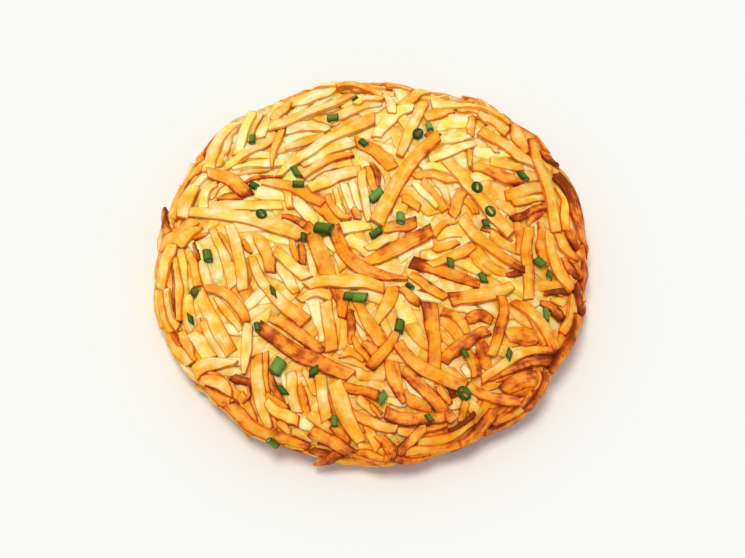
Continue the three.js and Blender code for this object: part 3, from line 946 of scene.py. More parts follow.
def lay_shreds(
    name, courses, widths, thicknesses, tones, press, room, rng, spring=NO_SPRING, keen=1.0
):
    """One mesh of shreds, laid on the pile one after the other.

    A spring lifts a shred's two ends, in metres, by a power of the way from its middle, and
    keen is how crisp its edges are, one value or one a shred.
    """
    halves = through(widths, KNOT_SHARE) / 2
    laid = map(lay_on_pile, courses, halves, thicknesses, press, room)
    lifts, rolls = np.array(list(laid)).transpose(1, 0, 2)
    away = np.abs(2 * KNOT_SHARE - 1) ** 2.5
    lifts = lifts + np.where(KNOT_SHARE < 0.5, spring[:, :1], spring[:, 1:]) * away
    twist = rng.uniform(0, TURN, (len(courses), 1))
    rolls = rolls + 0.05 * np.sin(TURN * KNOT_SHARE + twist)
    points, tone, crisp, grain = loft_shreds(
        np.array(courses), lifts, rolls, widths, thicknesses, tones, rng
    )
    add_shreds(name, points, tone, crisp * np.reshape(keen, (-1, 1, 1)), grain)


def scattered(walked, angle, heading, length, bend, rng):
    """Courses of shreds by rule: each an arc through its middle place, along its heading."""
    middle = walked[:, None] * pointing(angle)
    along = pointing(heading)
    half = length[:, None] / 2
    drop = leftward(along) * (bend[:, None] * half / 2)
    starts, ends = middle - along * half + drop, middle + along * half + drop
    phases = rng.uniform(0, TURN, len(walked))
    return [course(*places, 0.3 * MM, phase) for *places, phase in zip(starts, middle, ends, phases)]


def place_tone(walked, angle, rng):
    """Browning by place, with chance: deeper at the rim, and painted shade at the near right."""
    near_right_shade = np.cos(angle + np.radians(40)) * walked / EDGE
    return 2.6 + 1.0 * (walked / EDGE) ** 2 + 1.0 * near_right_shade + rng.normal(0, 0.8, len(walked))


LIT_WAY = np.array([-0.57, 0.82])  # towards the key light, the far left, where shreds get painted light
PAINTED_LIGHT = 1.9  # tones of painted light, paler, from the middle of the cake to that edge
LIGHT_SHOWS = (1.0, 0.4)  # how much of that painted light shows on the top and on the side
SHADE_SHOWS = 0.7  # how much of the reverse, painted shade, shows towards the near right
PALER = 0.6  # tones taken off everywhere


def painted_light_shift(place):
    """How much paler or darker a place is than its shred as a whole: painted light towards the key
    light on the far left, which shows less on the side, and painted shade towards the near right."""
    lit_side = PAINTED_LIGHT * (place @ LIT_WAY) / EDGE
    walked = np.hypot(place[..., 0], place[..., 1])
    return -PALER - np.where(lit_side > 0, by_side(LIGHT_SHOWS, walked), SHADE_SHOWS) * lit_side


# ---- Materials --------------------------------------------------------------------------


def add_node(tree, kind, links=None, **settings):
    """Adds a node, sets its options, and fills its sockets with a value or a link each."""
    node = tree.nodes.new("ShaderNode" + kind)
    for key, value in settings.items():
        setattr(node, key, value)
    for key, value in (links or {}).items():
        if isinstance(value, bpy.types.NodeSocket):
            tree.links.new(value, node.inputs[key])
        else:
            node.inputs[key].default_value = value
    return node


def opaque(tone):
    """A colour with full cover."""
    return (*tone, 1.0)


def new_material(name):
    """An empty node material, its tree, and where on the object and along its grain it is read."""
    material = bpy.data.materials.new(name)
    material.use_nodes = True
    tree = material.node_tree
    tree.nodes.clear()
    coords = add_node(tree, "TexCoord")
    return material, tree, coords.outputs["Object"], coords.outputs["UV"]


def finish(tree, colour, relief, strength, depth, sockets):
    """Ends a material: a shader of this colour, with the relief as its bump."""
    bump = {"Height": relief, "Strength": strength, "Distance": depth}
    normal = add_node(tree, "Bump", bump).outputs[0]
    shader = add_node(tree, "BsdfPrincipled", {"Base Color": colour, "Normal": normal, **sockets})
    add_node(tree, "OutputMaterial", {"Surface": shader.outputs[0]})


def set_stops(node, stops, tones):
    """Gives a colour ramp a tone at each of its stops."""
    ramp = node.color_ramp.elements
    while len(ramp) < len(stops):
        ramp.new(0.5)
    for element, stop, tone in zip(ramp, stops, tones):
        element.position = stop
        element.color = opaque(tone)


def fried_potato():
    """Shallow-fried potato: a thin crust over a moist strip. The crust runs from raw cream to dark
    brown, is darkest along the cut edges where the fat bites, and has a faint sheen of fat. The
    same edge stain, weaker, darkens the side walls and undersides as painted shade."""
    if "fried potato" in bpy.data.materials:
        return bpy.data.materials["fried potato"]
    look = bpy.context.scene.rosti_colours
    material, tree, place, grain = new_material("fried potato")
    browned = add_node(tree, "Attribute", attribute_name="browning").outputs["Fac"]
    crisp = add_node(tree, "Attribute", attribute_name="crisp").outputs["Fac"]
    # Blotches some 5 mm across, where a shred lay closer to the pan.
    blotch = add_node(tree, "TexNoise", {"Vector": place, "Scale": 1 / (5 * MM), "Detail": 3.0})
    # Streaks of about 1 mm, drawn out along the shred.
    drawn_out = add_node(tree, "Mapping", {"Vector": grain, "Scale": (0.13, 1.0, 1.0)}).outputs[0]
    streak = add_node(tree, "TexNoise", {"Vector": drawn_out, "Scale": 1 / (1.3 * MM), "Detail": 4.0})
    # Scorched freckles, only where the crust is already brown.
    freckle = add_node(tree, "TexNoise", {"Vector": place, "Scale": 1 / (1.7 * MM), "Detail": 2.0})
    freckled = add_node(
        tree,
        "MapRange",
        {"Value": freckle.outputs["Fac"], "From Min": 0.54, "From Max": 0.72},
        interpolation_type="SMOOTHSTEP",
    )
    scorched = add_node(
        tree,
        "MapRange",
        {"Value": browned, "From Min": 0.35, "From Max": 0.75, "To Max": 0.09},
        interpolation_type="SMOOTHSTEP",
    )
    # Each adds its share to the browning, and what the first two average is taken off again.
    total = browned
    for shade, weight in (
        (blotch.outputs["Fac"], 0.87),
        (streak.outputs["Fac"], 0.5),
        (freckled.outputs[0], scorched.outputs[0]),
    ):
        total = add_node(
            tree, "Math", {0: shade, 1: weight, 2: total}, operation="MULTIPLY_ADD"
        ).outputs[0]
    centred = add_node(tree, "Math", {0: total, 1: 0.685}, operation="SUBTRACT", use_clamp=True)
    crust = add_node(tree, "ValToRGB", {"Fac": centred.outputs[0]})
    tones = (look.raw, look.pale, look.golden, look.deep, look.orange, look.red_brown, look.dark)
    set_stops(crust, [tone / TONE_STEPS for tone in (0, 2, 4, 6, 7, 8, 9)], tones)
    # Patches some 8 mm across where more fat soaked in, and the crust is yellower.
    soak = add_node(tree, "TexNoise", {"Vector": place, "Scale": 1 / (8 * MM), "Detail": 1.0})
    soaked = add_node(
        tree,
        "MapRange",
        {"Value": soak.outputs["Fac"], "From Min": 0.4, "From Max": 0.62},
        interpolation_type="SMOOTHSTEP",
    )
    # The edge stain browns the crisp edges, and is painted shade on the side walls and undersides.
    edge = add_node(
        tree,
        "MapRange",
        {"Value": crisp, "From Min": 0.2, "From Max": 1.0, "To Max": look.edge_strength},
        interpolation_type="SMOOTHSTEP",
    )
    colour = crust.outputs["Color"]
    for cover, stain in ((soaked, look.fat), (edge, look.edge)):
        colour = add_node(
            tree,
            "Mix",
            {"Factor": cover.outputs[0], 6: colour, 7: opaque(stain)},
            data_type="RGBA",
            blend_type="MULTIPLY",
        ).outputs[2]
    gloss = {
        "Roughness": 0.5,
        "IOR": 1.45,
        "Specular IOR Level": 0.1,
        "Subsurface Weight": 0.3,
        "Subsurface Radius": (1.0, 0.5, 0.15),
        "Subsurface Scale": 1.8 * MM,
    }
    finish(tree, colour, streak.outputs["Fac"], 0.4, 0.3 * MM, gloss)
    return material


def potato_inside():
    """Boiled-through grated potato that never met the pan: moist, pale cream and translucent."""
    look = bpy.context.scene.rosti_colours
    material, tree, place, _ = new_material("cooked potato inside")
    browned = add_node(tree, "Attribute", attribute_name="browning").outputs["Fac"]
    crease = add_node(tree, "Attribute", attribute_name="crisp").outputs["Fac"]
    # Clouds some 5 mm across, of starch and of fat.
    clouds = add_node(
        tree, "TexNoise", {"Vector": place, "Scale": 1 / (5 * MM), "Detail": 4.0}
    ).outputs["Fac"]
    total = browned
    for shade, weight in ((clouds, 0.3), (crease, 0.28)):
        total = add_node(
            tree, "Math", {0: shade, 1: weight, 2: total}, operation="MULTIPLY_ADD"
        ).outputs[0]
    centred = add_node(tree, "Math", {0: total, 1: 0.15}, operation="SUBTRACT", use_clamp=True)
    flesh = add_node(tree, "ValToRGB", {"Fac": centred.outputs[0]})
    set_stops(flesh, (0.0, 0.35, 0.75), (look.raw, look.golden, look.deep))
    soaked = add_node(
        tree,
        "MapRange",
        {"Value": clouds, "From Min": 0.38, "From Max": 0.6},
        interpolation_type="SMOOTHSTEP",
    )
    fatty = add_node(
        tree,
        "Mix",
        {"Factor": soaked.outputs[0], 6: flesh.outputs["Color"], 7: opaque(look.fat)},
        data_type="RGBA",
        blend_type="MULTIPLY",
    )
    gloss = {
        "Roughness": 0.45,
        "IOR": 1.4,
        "Specular IOR Level": 0.3,
        "Subsurface Weight": 0.3,
        "Subsurface Radius": (1.0, 0.7, 0.35),
        "Subsurface Scale": 2.5 * MM,
    }
    finish(tree, fatty.outputs[2], clouds, 0.4, 0.8 * MM, gloss)
    return material


def chive_stalk():
    """Snipped chive: a hollow waxy stalk, deep green and finely ribbed outside, paler on its cut
    ends and inside."""
    look = bpy.context.scene.rosti_colours
    material, tree, _, grain = new_material("chive stalk")
    # The light attribute: each snip's lightness of green, with a painted highlight along its top and
    # painted shade at its cut rims.
    light = add_node(tree, "Attribute", attribute_name="light").outputs["Fac"]
    inner = add_node(tree, "Attribute", attribute_name="inner").outputs["Fac"]
    # Ribs run along the stalk, some 0.5 mm apart.
    drawn_out = add_node(tree, "Mapping", {"Vector": grain, "Scale": (0.08, 1.0, 1.0)}).outputs[0]
    ribs = add_node(
        tree, "TexNoise", {"Vector": drawn_out, "Scale": 1 / (0.5 * MM), "Detail": 2.0}
    ).outputs["Fac"]
    lightness = add_node(
        tree, "Math", {0: ribs, 1: 0.6, 2: light}, operation="MULTIPLY_ADD", use_clamp=True
    )
    colour = opaque(look.chive_dark)
    for cover, tone in ((lightness.outputs[0], look.chive_light), (inner, look.chive_inside)):
        mix = {"Factor": cover, 6: colour, 7: opaque(tone)}
        colour = add_node(tree, "Mix", mix, data_type="RGBA").outputs[2]
    gloss = {"Roughness": 0.45, "IOR": 1.42, "Specular IOR Level": 0.1}
    finish(tree, colour, ribs, 0.3, 0.15 * MM, gloss)
    return material


def matt_floor():
    """Plain matt off-white tabletop, with nothing on it to draw the eye."""
    look = bpy.context.scene.rosti_colours
    material, tree, place, _ = new_material("matt off-white floor")
    faint = add_node(tree, "TexNoise", {"Vector": place, "Scale": 1 / (60 * MM), "Detail": 2.0})
    gloss = {"Roughness": 0.85, "Specular IOR Level": 0.2}
    finish(tree, opaque(look.floor), faint.outputs["Fac"], 0.05, 0.2 * MM, gloss)
    return material


# ---- Properties -------------------------------------------------------------------------


def size_property(name, description, default):
    """A length in metres."""
    return FloatProperty(name=name, description=description, default=default, unit="LENGTH", min=0)


def colour_property(name, description, code):
    """A colour from a hex code."""
    return FloatVectorProperty(
        name=name, description=description, default=to_linear(code), subtype="COLOR", min=0, max=1
    )


def count_property(name, description, default):
    """A whole number."""
    return IntProperty(name=name, description=description, default=default, min=1)


def share_property(name, description, default):
    """A value between nothing and one."""
    return FloatProperty(name=name, description=description, default=default, min=0, max=1)


def strength_property(name, description, default):
    """The strength of a light."""
    return FloatProperty(name=name, description=description, default=default, min=0)


class RostiShredSettings(PropertyGroup):
    """Sizes and numbers of the shreds that are laid by rule."""

    thickness: size_property("Thickness", "Mean thickness of a shred", 1.9 * MM)
    shortest: size_property("Shortest", "Length of the shortest shreds", 22 * MM)
    longest: size_property("Longest", "Length of the longest shreds", 44 * MM)
    narrowest: size_property("Narrowest", "Width of the narrowest shreds", 3.8 * MM)
    widest: size_property("Widest", "Width of the widest shreds", 5.6 * MM)
    matted: count_property("Matted", "Flattened shreds pressed into the core", 330)
    filling: count_property("Filling", "Shreds in the bed under the top", 110)
    side: count_property("Side", "Shreds that wrap the side", 130)
    far_side: count_property("Far Side", "Shreds laid over the far side", 60)
    underside: count_property("Underside", "Shreds pressed flat against the pan", 170)
    seed: count_property("Seed", "Starts every chance draw", 20)


class RostiChiveSettings(PropertyGroup):
    """Form of the snipped chives."""

    squash: share_property("Squash", "Height of a lying stalk as a share of its width", 0.72)
    hollow: share_property("Hollow", "Width of the hollow as a share of the stalk's", 0.74)
    slit: share_property("Slit", "Height of a standing ring's hollow as a share of its own", 0.24)


class RostiColourSettings(PropertyGroup):
    """Colours of the food, the floor and the light."""

    raw: colour_property("Raw", "Potato that stayed pale", "#FFF6B6")
    pale: colour_property("Pale", "Potato just coloured", "#FCDB94")
    golden: colour_property("Golden", "Golden crust", "#F8BD4E")
    deep: colour_property("Deep", "Deep golden crust", "#F49B32")
    orange: colour_property("Orange", "Crust about to brown", "#DC722A")
    red_brown: colour_property("Red Brown", "Browned ends", "#AC4C16")
    dark: colour_property("Dark", "Darkest ends", "#883808")
    fat: colour_property("Fat", "Stain of the fat that soaked in", "#FFF19A")
    # The edge stain browns the crisp edges, and is painted shade on the shreds' side walls and
    # undersides.
    edge: colour_property("Edge", "Stain of the crisp edges", "#E28C00")
    edge_strength: share_property("Edge Strength", "How dark the edges are", 0.93)
    chive_dark: colour_property("Chive Dark", "Outside of the stalk", "#284404")
    chive_light: colour_property("Chive Light", "Lit ribs of the stalk", "#8CB44A")
    chive_inside: colour_property("Chive Inside", "Cut ends and hollow", "#C2CC8A")
    floor: colour_property("Floor", "Tabletop", "#F0F2ED")
    sun: colour_property("Sun", "Tint of the key light", "#FFF8EC")
    sky: colour_property("Sky", "Tint of the even light", "#EAF0FF")


class RostiStageSettings(PropertyGroup):
    """Strength of the studio's light."""

    sun: strength_property("Sun", "Strength of the key light", 1.84)
    sun_spread: FloatProperty(
        name="Sun Spread",
        description="Apparent size of the key light",
        default=np.radians(24),
        subtype="ANGLE",
        min=0,
    )
    sky: strength_property("Sky", "Strength of the even light", 0.57)
    haze: strength_property("Haze", "Strength of the even light at the horizon", 1.25)


# ---- Operators --------------------------------------------------------------------------

FLOOR_HALF = 3.0  # half the side of the floor
SUN_WAY = Vector((-0.14, 0.0, 1.15))  # towards the key light: high, and a little from the left
HAZE_BAND = (0.1, 0.35)  # heights of the view, 1 straight up, between which haze turns to sky


class ROSTI_OT_stage(Operator):
    """Set up the floor, the light and the camera"""

    bl_idname = "rosti.stage"
    bl_label = "Stage"

    def execute(self, context):
        scene = context.scene
        scene.view_settings.view_transform = "Standard"
        mesh = bpy.data.meshes.new("floor")
        corners = [(x * FLOOR_HALF, y * FLOOR_HALF, 0) for x, y in ((-1, -1), (1, -1), (1, 1), (-1, 1))]
        mesh.from_pydata(corners, [], [(0, 1, 2, 3)])
        mesh.materials.append(matt_floor())
        floor = bpy.data.objects.new("floor", mesh)
        scene.collection.objects.link(floor)

        sun = bpy.data.lights.new("key", "SUN")
        sun.energy = scene.rosti_stage.sun
        sun.angle = scene.rosti_stage.sun_spread
        sun.color = scene.rosti_colours.sun
        key = bpy.data.objects.new("key", sun)
        scene.collection.objects.link(key)
        key.rotation_euler = SUN_WAY.to_track_quat("Z", "Y").to_euler()

        scene.world = bpy.data.worlds.new("studio")
        scene.world.use_nodes = True
        tree = scene.world.node_tree
        tree.nodes.clear()
        # The light is even, but for a brighter band that carries the floor on at the horizon.
        coords = add_node(tree, "TexCoord")
        ways = add_node(tree, "SeparateXYZ", {0: coords.outputs["Generated"]})
        band = {
            "Value": ways.outputs["Z"],
            "From Min": HAZE_BAND[0],
            "From Max": HAZE_BAND[1],
            "To Min": scene.rosti_stage.haze,
            "To Max": scene.rosti_stage.sky,
        }
        strength = add_node(tree, "MapRange", band, interpolation_type="SMOOTHSTEP").outputs[0]
        tint = opaque(scene.rosti_colours.sky)
        sky = add_node(tree, "Background", {"Color": tint, "Strength": strength})
        add_node(tree, "OutputWorld", {"Surface": sky.outputs[0]})

        lens = bpy.data.cameras.new("camera")
        lens.lens = LENS
        lens.sensor_width = SENSOR
        lens.clip_start = 0.01
        camera = bpy.data.objects.new("camera", lens)
        right = np.cross(CAMERA_UP, CAMERA_BACK)
        turn = Matrix(np.stack([right, CAMERA_UP, CAMERA_BACK], -1).tolist()).to_4x4()
        camera.matrix_world = Matrix.Translation(Vector(CAMERA_PLACE)) @ turn
        scene.collection.objects.link(camera)
        scene.camera = camera
        return {"FINISHED"}


def drawn_shreds(settings, number, rng):
    """Lengths, widths (at start, middle and end) and thicknesses of shreds cut by a coarse
    grater."""
    lengths = rng.uniform(settings.shortest, settings.longest, number)
    widths = rng.uniform(settings.narrowest, settings.widest, (number, 1))
    widths = widths * np.insert(rng.uniform(0.6, 0.95, (number, 2)), 1, 1.0, axis=1)
    thicknesses = settings.thickness * rng.uniform(0.85, 1.15, number)
    return lengths, widths, thicknesses


CORE_AROUND, CORE_DOWN, CORE_UNDER = 520, 140, 12  # points round it, down its side and beneath it
CORE_FLOOR = 0.9 * MM  # height of its flat underside
CREASE_SLOPE = 0.7  # slope of the bed that counts as a full crease


class ROSTI_OT_core(Operator):
    """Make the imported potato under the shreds"""

    bl_idname = "rosti.core"
    bl_label = "Potato Core"

    def execute(self, context):
        settings = context.scene.rosti_shreds
        rng = np.random.default_rng(settings.seed + 6)
        number = settings.matted
        walked, angle = sunflower(number, EDGE - 4 * MM)
        lengths, widths, _ = drawn_shreds(settings, number, rng)
        heading = rng.uniform(0, np.pi, number)
        tones = np.clip(place_tone(walked, angle, rng) - 1.6, 0, 4)
        bend = rng.uniform(-0.35, 0.35, number)
        emboss_bed(scattered(walked, angle, heading, lengths, bend, rng), widths[:, 1] * 0.6, tones)
        slope = np.hypot(*np.gradient(pile.height, pile.step))
        crease = eased_both_ways(np.clip(slope / CREASE_SLOPE, 0, 1))

        around = CORE_AROUND
        walked = np.linspace(0, EDGE, CORE_DOWN)[1:]
        place = walked[:, None, None] * pointing(np.linspace(0, TURN, around, endpoint=False))
        top, _ = skin(place, pile.sample(pile.height, place))
        top[..., 2] = np.maximum(top[..., 2], CORE_FLOOR)
        inward = np.linspace(1, 0, CORE_UNDER + 1)[1:-1, None, None]
        base = top[-1] * np.concatenate([inward, inward, np.ones_like(inward)], -1)
        rows = len(top) + len(base)
        poles = [[0, 0, top[0, :, 2].mean()], [0, 0, CORE_FLOOR]]
        points = np.concatenate([np.concatenate([top, base]).reshape(-1, 3), poles])
        spin = np.arange(around)
        following, last = (spin + 1) % around, (rows - 1) * around
        crown = np.stack([np.full(around, rows * around), spin, following], -1)
        foot = np.stack([np.full(around, rows * around + 1), last + following, last + spin], -1)
        maps = {"browning": np.zeros(len(points)), "crisp": np.zeros(len(points))}
        maps["browning"][: top.size // 3] = pile.sample(pile.tone, place).ravel() / TONE_STEPS
        maps["crisp"][: top.size // 3] = pile.sample(crease, place).ravel()
        faces = [grid_quads(rows, around), np.concatenate([crown, foot])]
        add_mesh("potato_core", points, faces, potato_inside(), maps)
        return {"FINISHED"}


class ROSTI_OT_underside(Operator):
    """Press a mat of shreds flat against the pan"""

    bl_idname = "rosti.underside"
    bl_label = "Pressed Underside"

    def execute(self, context):
        settings = context.scene.rosti_shreds
        rng = np.random.default_rng(settings.seed + 1)
        number = settings.underside
        foot = SIDE_OUT[-1] * CORE_RADIUS
        reach, angle = sunflower(number, foot - 4 * MM)
        lengths, widths, _ = drawn_shreds(settings, number, rng)
        heading = rng.uniform(0, np.pi, number)
        # Near the rim they are short and run round it, so that none sticks out.
        outer = reach > foot - 22 * MM
        heading[outer] = angle[outer] + np.pi / 2 + rng.normal(0, 0.3, outer.sum())
        lengths[outer] = np.minimum(lengths[outer], 30 * MM)
        bend = rng.uniform(-0.3, 0.3, number)
        lines = np.array(scattered(reach, angle, heading, lengths, bend, rng))
        tones = np.stack([rng.normal(6.6, 0.8, number) for _ in range(3)], -1)
        depth = rng.permutation(number) / number * 1.1 * MM
        add_shreds("underside_shreds", *loft_flat(lines, depth, widths, tones))
        return {"FINISHED"}


class ROSTI_OT_filling(Operator):
    """Lay the bed of pale shreds that shows between the upper ones"""

    bl_idname = "rosti.filling"
    bl_label = "Filling Shreds"

    def execute(self, context):
        settings = context.scene.rosti_shreds
        rng = np.random.default_rng(settings.seed + 2)
        number = settings.filling
        walked, angle = sunflower(number, EDGE - 24 * MM)
        lengths, widths, thicknesses = drawn_shreds(settings, number, rng)
        heading = rng.uniform(0, np.pi, number)
        bend = rng.uniform(-0.35, 0.35, number)
        courses = scattered(walked, angle, heading, lengths, bend, rng)
        tone = np.clip(place_tone(walked, angle, rng) - 1.0, 0.2, 4.2)
        tones = tone[:, None] + rng.normal(0, 0.6, (number, 3))
        press = rng.uniform(1.2, 1.6, number) * MM
        room = np.linspace(3.4, 2.4, number) * MM
        shreds = (courses, widths * 1.15, thicknesses, tones, press, room)
        lay_shreds("filling_shreds", *shreds, rng, keen=0.5)
        return {"FINISHED"}


def lay_round_side(name, settings, angle, rise, room, rng):
    """Shreds that run round the side up to a rise from the pan, each tipped a little up or down
    and bent with the rim; a few of their ends stand off it."""
    number = len(angle)
    walked = EDGE - (3 + rise * ((np.arange(number) * EVEN_STEP) % 1)) * MM
    lengths, widths, thicknesses = drawn_shreds(settings, number, rng)
    heading = angle + np.pi / 2 + rng.normal(0, 0.22, number)
    bend = 0.36 * lengths / (40 * MM) + rng.uniform(-0.12, 0.12, number)
    courses = scattered(walked, angle, heading, lengths, bend, rng)
    tone = np.clip(place_tone(walked, angle, rng) + 0.3, 2.2, 5.6)
    tones = tone[:, None] + rng.normal(0, 0.6, (number, 3)) + [0.5, 0, 0.5]
    press = rng.uniform(0.5, 1.0, number) * MM
    spring = 1.1 * MM * rng.uniform(0, 1, (number, 2)) ** 4
    room = np.linspace(*room, number) * MM
    lay_shreds(name, courses, widths, thicknesses, tones, press, room, rng, spring, 0.75)


class ROSTI_OT_side(Operator):
    """Wrap shreds round the side"""

    bl_idname = "rosti.side"
    bl_label = "Side Shreds"

    def execute(self, context):
        settings = context.scene.rosti_shreds
        rng = np.random.default_rng(settings.seed + 3)
        angle = np.arange(settings.side) * GOLDEN_ANGLE
        lay_round_side("side_shreds", settings, angle, 27, (3.6, 0.6), rng)
        return {"FINISHED"}


class ROSTI_OT_far_side(Operator):
    """Lay more shreds round the side that faces away from the camera"""

    bl_idname = "rosti.far_side"
    bl_label = "Far Side Shreds"

    def execute(self, context):
        settings = context.scene.rosti_shreds
        rng = np.random.default_rng(settings.seed + 4)
        share = (np.arange(settings.far_side) * GOLDEN_STEP) % 1
        angle = np.radians(-15) + np.radians(210) * share
        lay_round_side("far_side_shreds", settings, angle, 15, (2.0, 0.4), rng)
        return {"FINISHED"}


OVERLAP = 1.05  # width of a shred as a share of what shows between its neighbours
RUN_TO, RUN_ON = 34, 1.9  # image pixels that short ones are drawn out to, and the most times
BROADEST = 6.8 * MM
LEAST_SHOWN = 0.7  # least share of its width that a tilted shred is taken to show


def shown_width(places):
    """Image pixels for each metre of a shred's width, where its middle lies."""
    start, middle, end = places[:, 0], places[:, 1], places[:, 2]
    point, normal = skin(middle, 0)
    before, _ = skin(middle + (start - end) * 0.02, 0)
    ahead = unit(point - before)
    across = np.cross(normal, ahead)
    seen = in_image(point)
    ahead_seen = unit(in_image(point + ahead * MM) - seen)
    across_seen = (in_image(point + across * MM) - seen) / MM
    turned = ahead_seen[:, 0] * across_seen[:, 1] - ahead_seen[:, 1] * across_seen[:, 0]
    return np.maximum(np.abs(turned), LEAST_SHOWN * (FOCAL_PIXELS / CAMERA_DISTANCE))


def lay_seen_shreds(name, layers, settings):
    """The shreds of some layers of the table, each laid where the camera sees it."""
    rng = np.random.default_rng(settings.seed + 5 + min(layers))
    rows = [row for i in layers for row in SEEN_SHREDS if row[10] == i]
    layer = np.array([row[10] for row in rows])
    pixels = np.array([row[:6] for row in rows], float).reshape(-1, 3, 2)
    # Short shreds of the lowest layer run on under those that cover their ends.
    reach = np.linalg.norm(pixels[:, 2] - pixels[:, 0], axis=-1)
    longer = np.where(layer == 0, np.clip(RUN_TO / reach, 1, RUN_ON), 1)[:, None]
    for end in (0, 2):
        pixels[:, end] += (pixels[:, end] - pixels[:, 1]) * (longer - 1)
    places = np.concatenate([seen_places(pixels[layer == i], LAYER_LIFT[i]) for i in layers])
    drawn = OVERLAP * np.array([row[6:9] for row in rows])
    widths = drawn / shown_width(places)[:, None]
    # One seen at a slant is no wider than the broadest that lie flat.
    flat = drawn * CAMERA_DISTANCE / FOCAL_PIXELS
    widths = np.minimum(widths, np.maximum(BROADEST, flat))
    tones = np.array([[int(tone) for tone in row[9]] for row in rows], float)
    phases = rng.uniform(0, TURN, len(rows))
    courses = [course(*ends, 0.12 * MM, phase) for ends, phase in zip(places, phases)]
    thicknesses = settings.thickness * rng.uniform(0.85, 1.15, len(rows))
    thicknesses = np.minimum(thicknesses, 0.62 * widths.max(1))
    spring = rng.uniform(0, 0.8, (len(rows), 2)) * MM * (layer == 3)[:, None]
    spring[layer == 4, 0] = RIM_SPRING
    shreds = (courses, widths, thicknesses, tones, LAYER_PRESS[layer], LAYER_ROOM[layer])
    lay_shreds(name, *shreds, rng, spring, LAYER_KEEN[layer])


class ROSTI_OT_lower(Operator):
    """Lay the lower of the shreds that the camera sees"""

    bl_idname = "rosti.lower"
    bl_label = "Lower Shreds"

    def execute(self, context):
        lay_seen_shreds("lower_shreds", (0, 1), context.scene.rosti_shreds)
        return {"FINISHED"}


class ROSTI_OT_top(Operator):
    """Lay the uppermost shreds that the camera sees, each in its own place"""

    bl_idname = "rosti.top"
    bl_label = "Top Shreds"

    def execute(self, context):
        lay_seen_shreds("top_shreds", (4, 2, 3), context.scene.rosti_shreds)
        return {"FINISHED"}


CHIVE_LIFT = 4.5 * MM  # lift of the skin on which the camera's pixels place them
CHIVE_SEAT = 0.3 * MM  # how far they sit in what is under them
SNIP_LEAN, RING_LEAN = 0.33, 0.2  # steepest slope that each kind lies at
RING_HALF_HIGH = 0.6 * MM  # half the length of stalk that a standing ring keeps
RING_OVAL = 0.82  # narrower diameter of a standing ring as a share of the wider
LEAST_GREEN, GREEN_GAIN = -0.46, 0.75  # lightness of the darkest, and what the lightest adds
STALK_AROUND = 24  # points round a stalk
# Where the points of a stalk lie along it, in half lengths, and how far its rims are worn.
STALK_ALONG = np.array([-1.0, -0.96, -0.75, -0.3, 0.3, 0.75, 0.96, 1.0])
RIM_WORN = 0.08


class ROSTI_OT_chives(Operator):
    """Scatter the snipped chives"""

    bl_idname = "rosti.chives"
    bl_label = "Chives"

    def execute(self, context):
        settings = context.scene.rosti_chives
        snips, rings = np.array(SEEN_SNIPS, float), np.array(SEEN_RINGS, float)
        middle = np.concatenate([snips[:, :2], rings[:, :2]])
        heading = np.radians(np.concatenate([snips[:, 4], rings[:, 3]]))
        place = seen_places(middle, CHIVE_LIFT)
        step = 3 * pointing(heading)
        before, after = (seen_places(middle + way * step, CHIVE_LIFT) for way in (-1, 1))
        ahead_place = unit(after - before)
        lying = np.arange(len(middle)) < len(snips)
        half_width = np.concatenate([snips[:, 3], rings[:, 2]]) / 2 * PIXEL
        half_height = half_width * np.where(lying, settings.squash, RING_OVAL)
        slant = np.concatenate([snips[:, 5], np.zeros(len(rings))])
        half_length = np.concatenate([snips[:, 2] / 2 * PIXEL, np.full(len(rings), RING_HALF_HIGH)])
        half_length = half_length - 0.5 * slant * half_width

        # Each feels what is under a grid of five by five places, and tips and leans with it.
        ticks = np.array([-1, -0.5, 0, 0.5, 1.0])
        reach = np.where(lying, half_length, half_width)
        forward = (ahead_place * reach[:, None])[:, None, None] * ticks[:, None, None]
        sideward = (leftward(ahead_place) * half_width[:, None])[:, None, None] * ticks[:, None]
        under = pile.height[pile.cell(place[:, None, None] + forward + sideward)]
        tip = (under[:, 3:].mean((1, 2)) - under[:, :2].mean((1, 2))) / (1.5 * reach)
        lean = (under[:, :, 3:].mean((1, 2)) - under[:, :, :2].mean((1, 2))) / (1.5 * half_width)
        most = np.where(lying, SNIP_LEAN, RING_LEAN)
        tip, lean = np.clip(tip, -most, most), np.clip(lean, -most, most)
        rest = under[:, 1:-1, 1:-1].max((1, 2)) * 0.6 + under.mean((1, 2)) * 0.4 - CHIVE_SEAT

        foot, normal = skin(place, rest)
        next_point, _ = skin(place + ahead_place * MM, rest)
        ahead = unit(unit(next_point - foot) + normal * tip[:, None])
        across = unit(np.cross(normal, ahead) + normal * lean[:, None])
        upward = unit(np.cross(ahead, across))
        flat = lying[:, None]
        ways = [np.where(flat, a, b) for a, b in ((ahead, upward), (across, ahead), (upward, across))]
        centre = foot + upward * np.where(lying, half_height, half_length)[:, None]
        hollows = [half_width * settings.hollow]
        hollows.append(half_height * np.where(lying, settings.hollow, settings.slit))
        halves = (half_length, half_width, half_height)
        points, inner, shade, grain = carry_stalk(centre, ways, halves, hollows, slant)
        light = np.concatenate([snips[:, 6], rings[:, 4]]) / TONE_STEPS
        # Each snip's lightness of green, plus the painted highlight and shade of its stalk.
        maps = {"light": light[:, None, None] * GREEN_GAIN + LEAST_GREEN + shade, "inner": inner}
        number, around, loop = inner.shape
        faces = repeated(grid_quads(around, loop, closed=True), number, around * loop)
        add_mesh("chives", points, [faces], chive_stalk(), maps, grain)
        return {"FINISHED"}


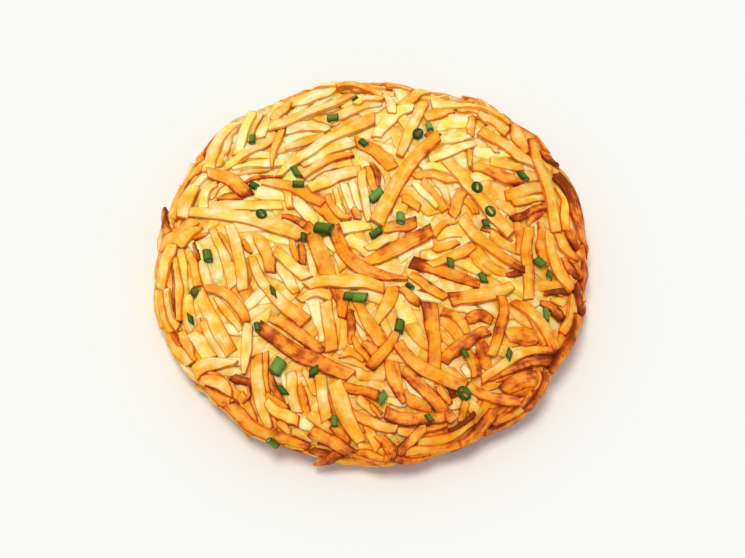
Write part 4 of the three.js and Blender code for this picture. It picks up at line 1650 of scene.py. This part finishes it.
def carry_stalk(centre, ways, halves, hollows, slant):
    """Hollow oval stalks: a loop that runs along the outside and back along the inside, carried
    round an ellipse; its ends are slanted by the cosine of the way round.

    The outside carries a painted highlight along its upper side and painted shade at the rims of its
    cuts.
    """
    axis, wide, high = (way[:, None, None] for way in ways)
    half_length, half_width, half_height = (half[:, None, None] for half in halves)
    turn = np.linspace(0, TURN, STALK_AROUND, endpoint=False)[None, :, None]
    loop = np.concatenate([STALK_ALONG, STALK_ALONG[::-1]])
    is_inner = np.arange(len(loop)) >= len(STALK_ALONG)
    at_end = np.abs(loop) > 0.9
    outer = 1 - RIM_WORN * (np.abs(loop) == 1)
    across_size = np.where(is_inner, hollows[0][:, None, None], half_width * outer)
    up_size = np.where(is_inner, hollows[1][:, None, None], half_height * outer)
    forward = half_length * loop + slant[:, None, None] * half_width * np.cos(turn)
    points = (
        centre[:, None, None]
        + axis * forward[..., None]
        + wide * (across_size * np.cos(turn))[..., None]
        + high * (up_size * np.sin(turn))[..., None]
    )
    shape = forward.shape
    inner = np.broadcast_to(np.where(is_inner, np.where(at_end, 0.1, 1.0), 0.0), shape)
    # painted highlight along the upper side, and painted shade at the rims of the cuts
    shade = np.broadcast_to(0.3 * np.maximum(np.sin(turn), 0) ** 2 - 0.3 * at_end, shape)
    grain = np.stack([forward, np.broadcast_to(turn * half_width, shape)], -1)
    return points, inner, shade, grain


# ---- Panel and registration -------------------------------------------------------------

STEPS = (
    ROSTI_OT_stage,
    ROSTI_OT_core,
    ROSTI_OT_underside,
    ROSTI_OT_filling,
    ROSTI_OT_side,
    ROSTI_OT_far_side,
    ROSTI_OT_lower,
    ROSTI_OT_top,
    ROSTI_OT_chives,
)
SETTINGS = {
    "rosti_shreds": RostiShredSettings,
    "rosti_chives": RostiChiveSettings,
    "rosti_colours": RostiColourSettings,
    "rosti_stage": RostiStageSettings,
}


class ROSTI_PT_panel(Panel):
    """Lists the steps that make the rosti, and what can be changed"""

    bl_idname = "ROSTI_PT_panel"
    bl_label = "Potato Rosti"
    bl_space_type = "VIEW_3D"
    bl_region_type = "UI"
    bl_category = "Rosti"

    def draw(self, context):
        for step in STEPS:
            self.layout.operator(step.bl_idname)
        for group, kind in SETTINGS.items():
            box = self.layout.box()
            for key in kind.__annotations__:
                box.prop(getattr(context.scene, group), key)


def register():
    for kind in (*SETTINGS.values(), *STEPS, ROSTI_PT_panel):
        bpy.utils.register_class(kind)
    for key, kind in SETTINGS.items():
        setattr(bpy.types.Scene, key, PointerProperty(type=kind))


def unregister():
    for key in SETTINGS:
        delattr(bpy.types.Scene, key)
    for kind in (ROSTI_PT_panel, *reversed(STEPS), *SETTINGS.values()):
        bpy.utils.unregister_class(kind)


def main():
    register()
    for step in STEPS:
        group, name = step.bl_idname.split(".")
        getattr(getattr(bpy.ops, group), name)()


if __name__ == "__main__":
    main()
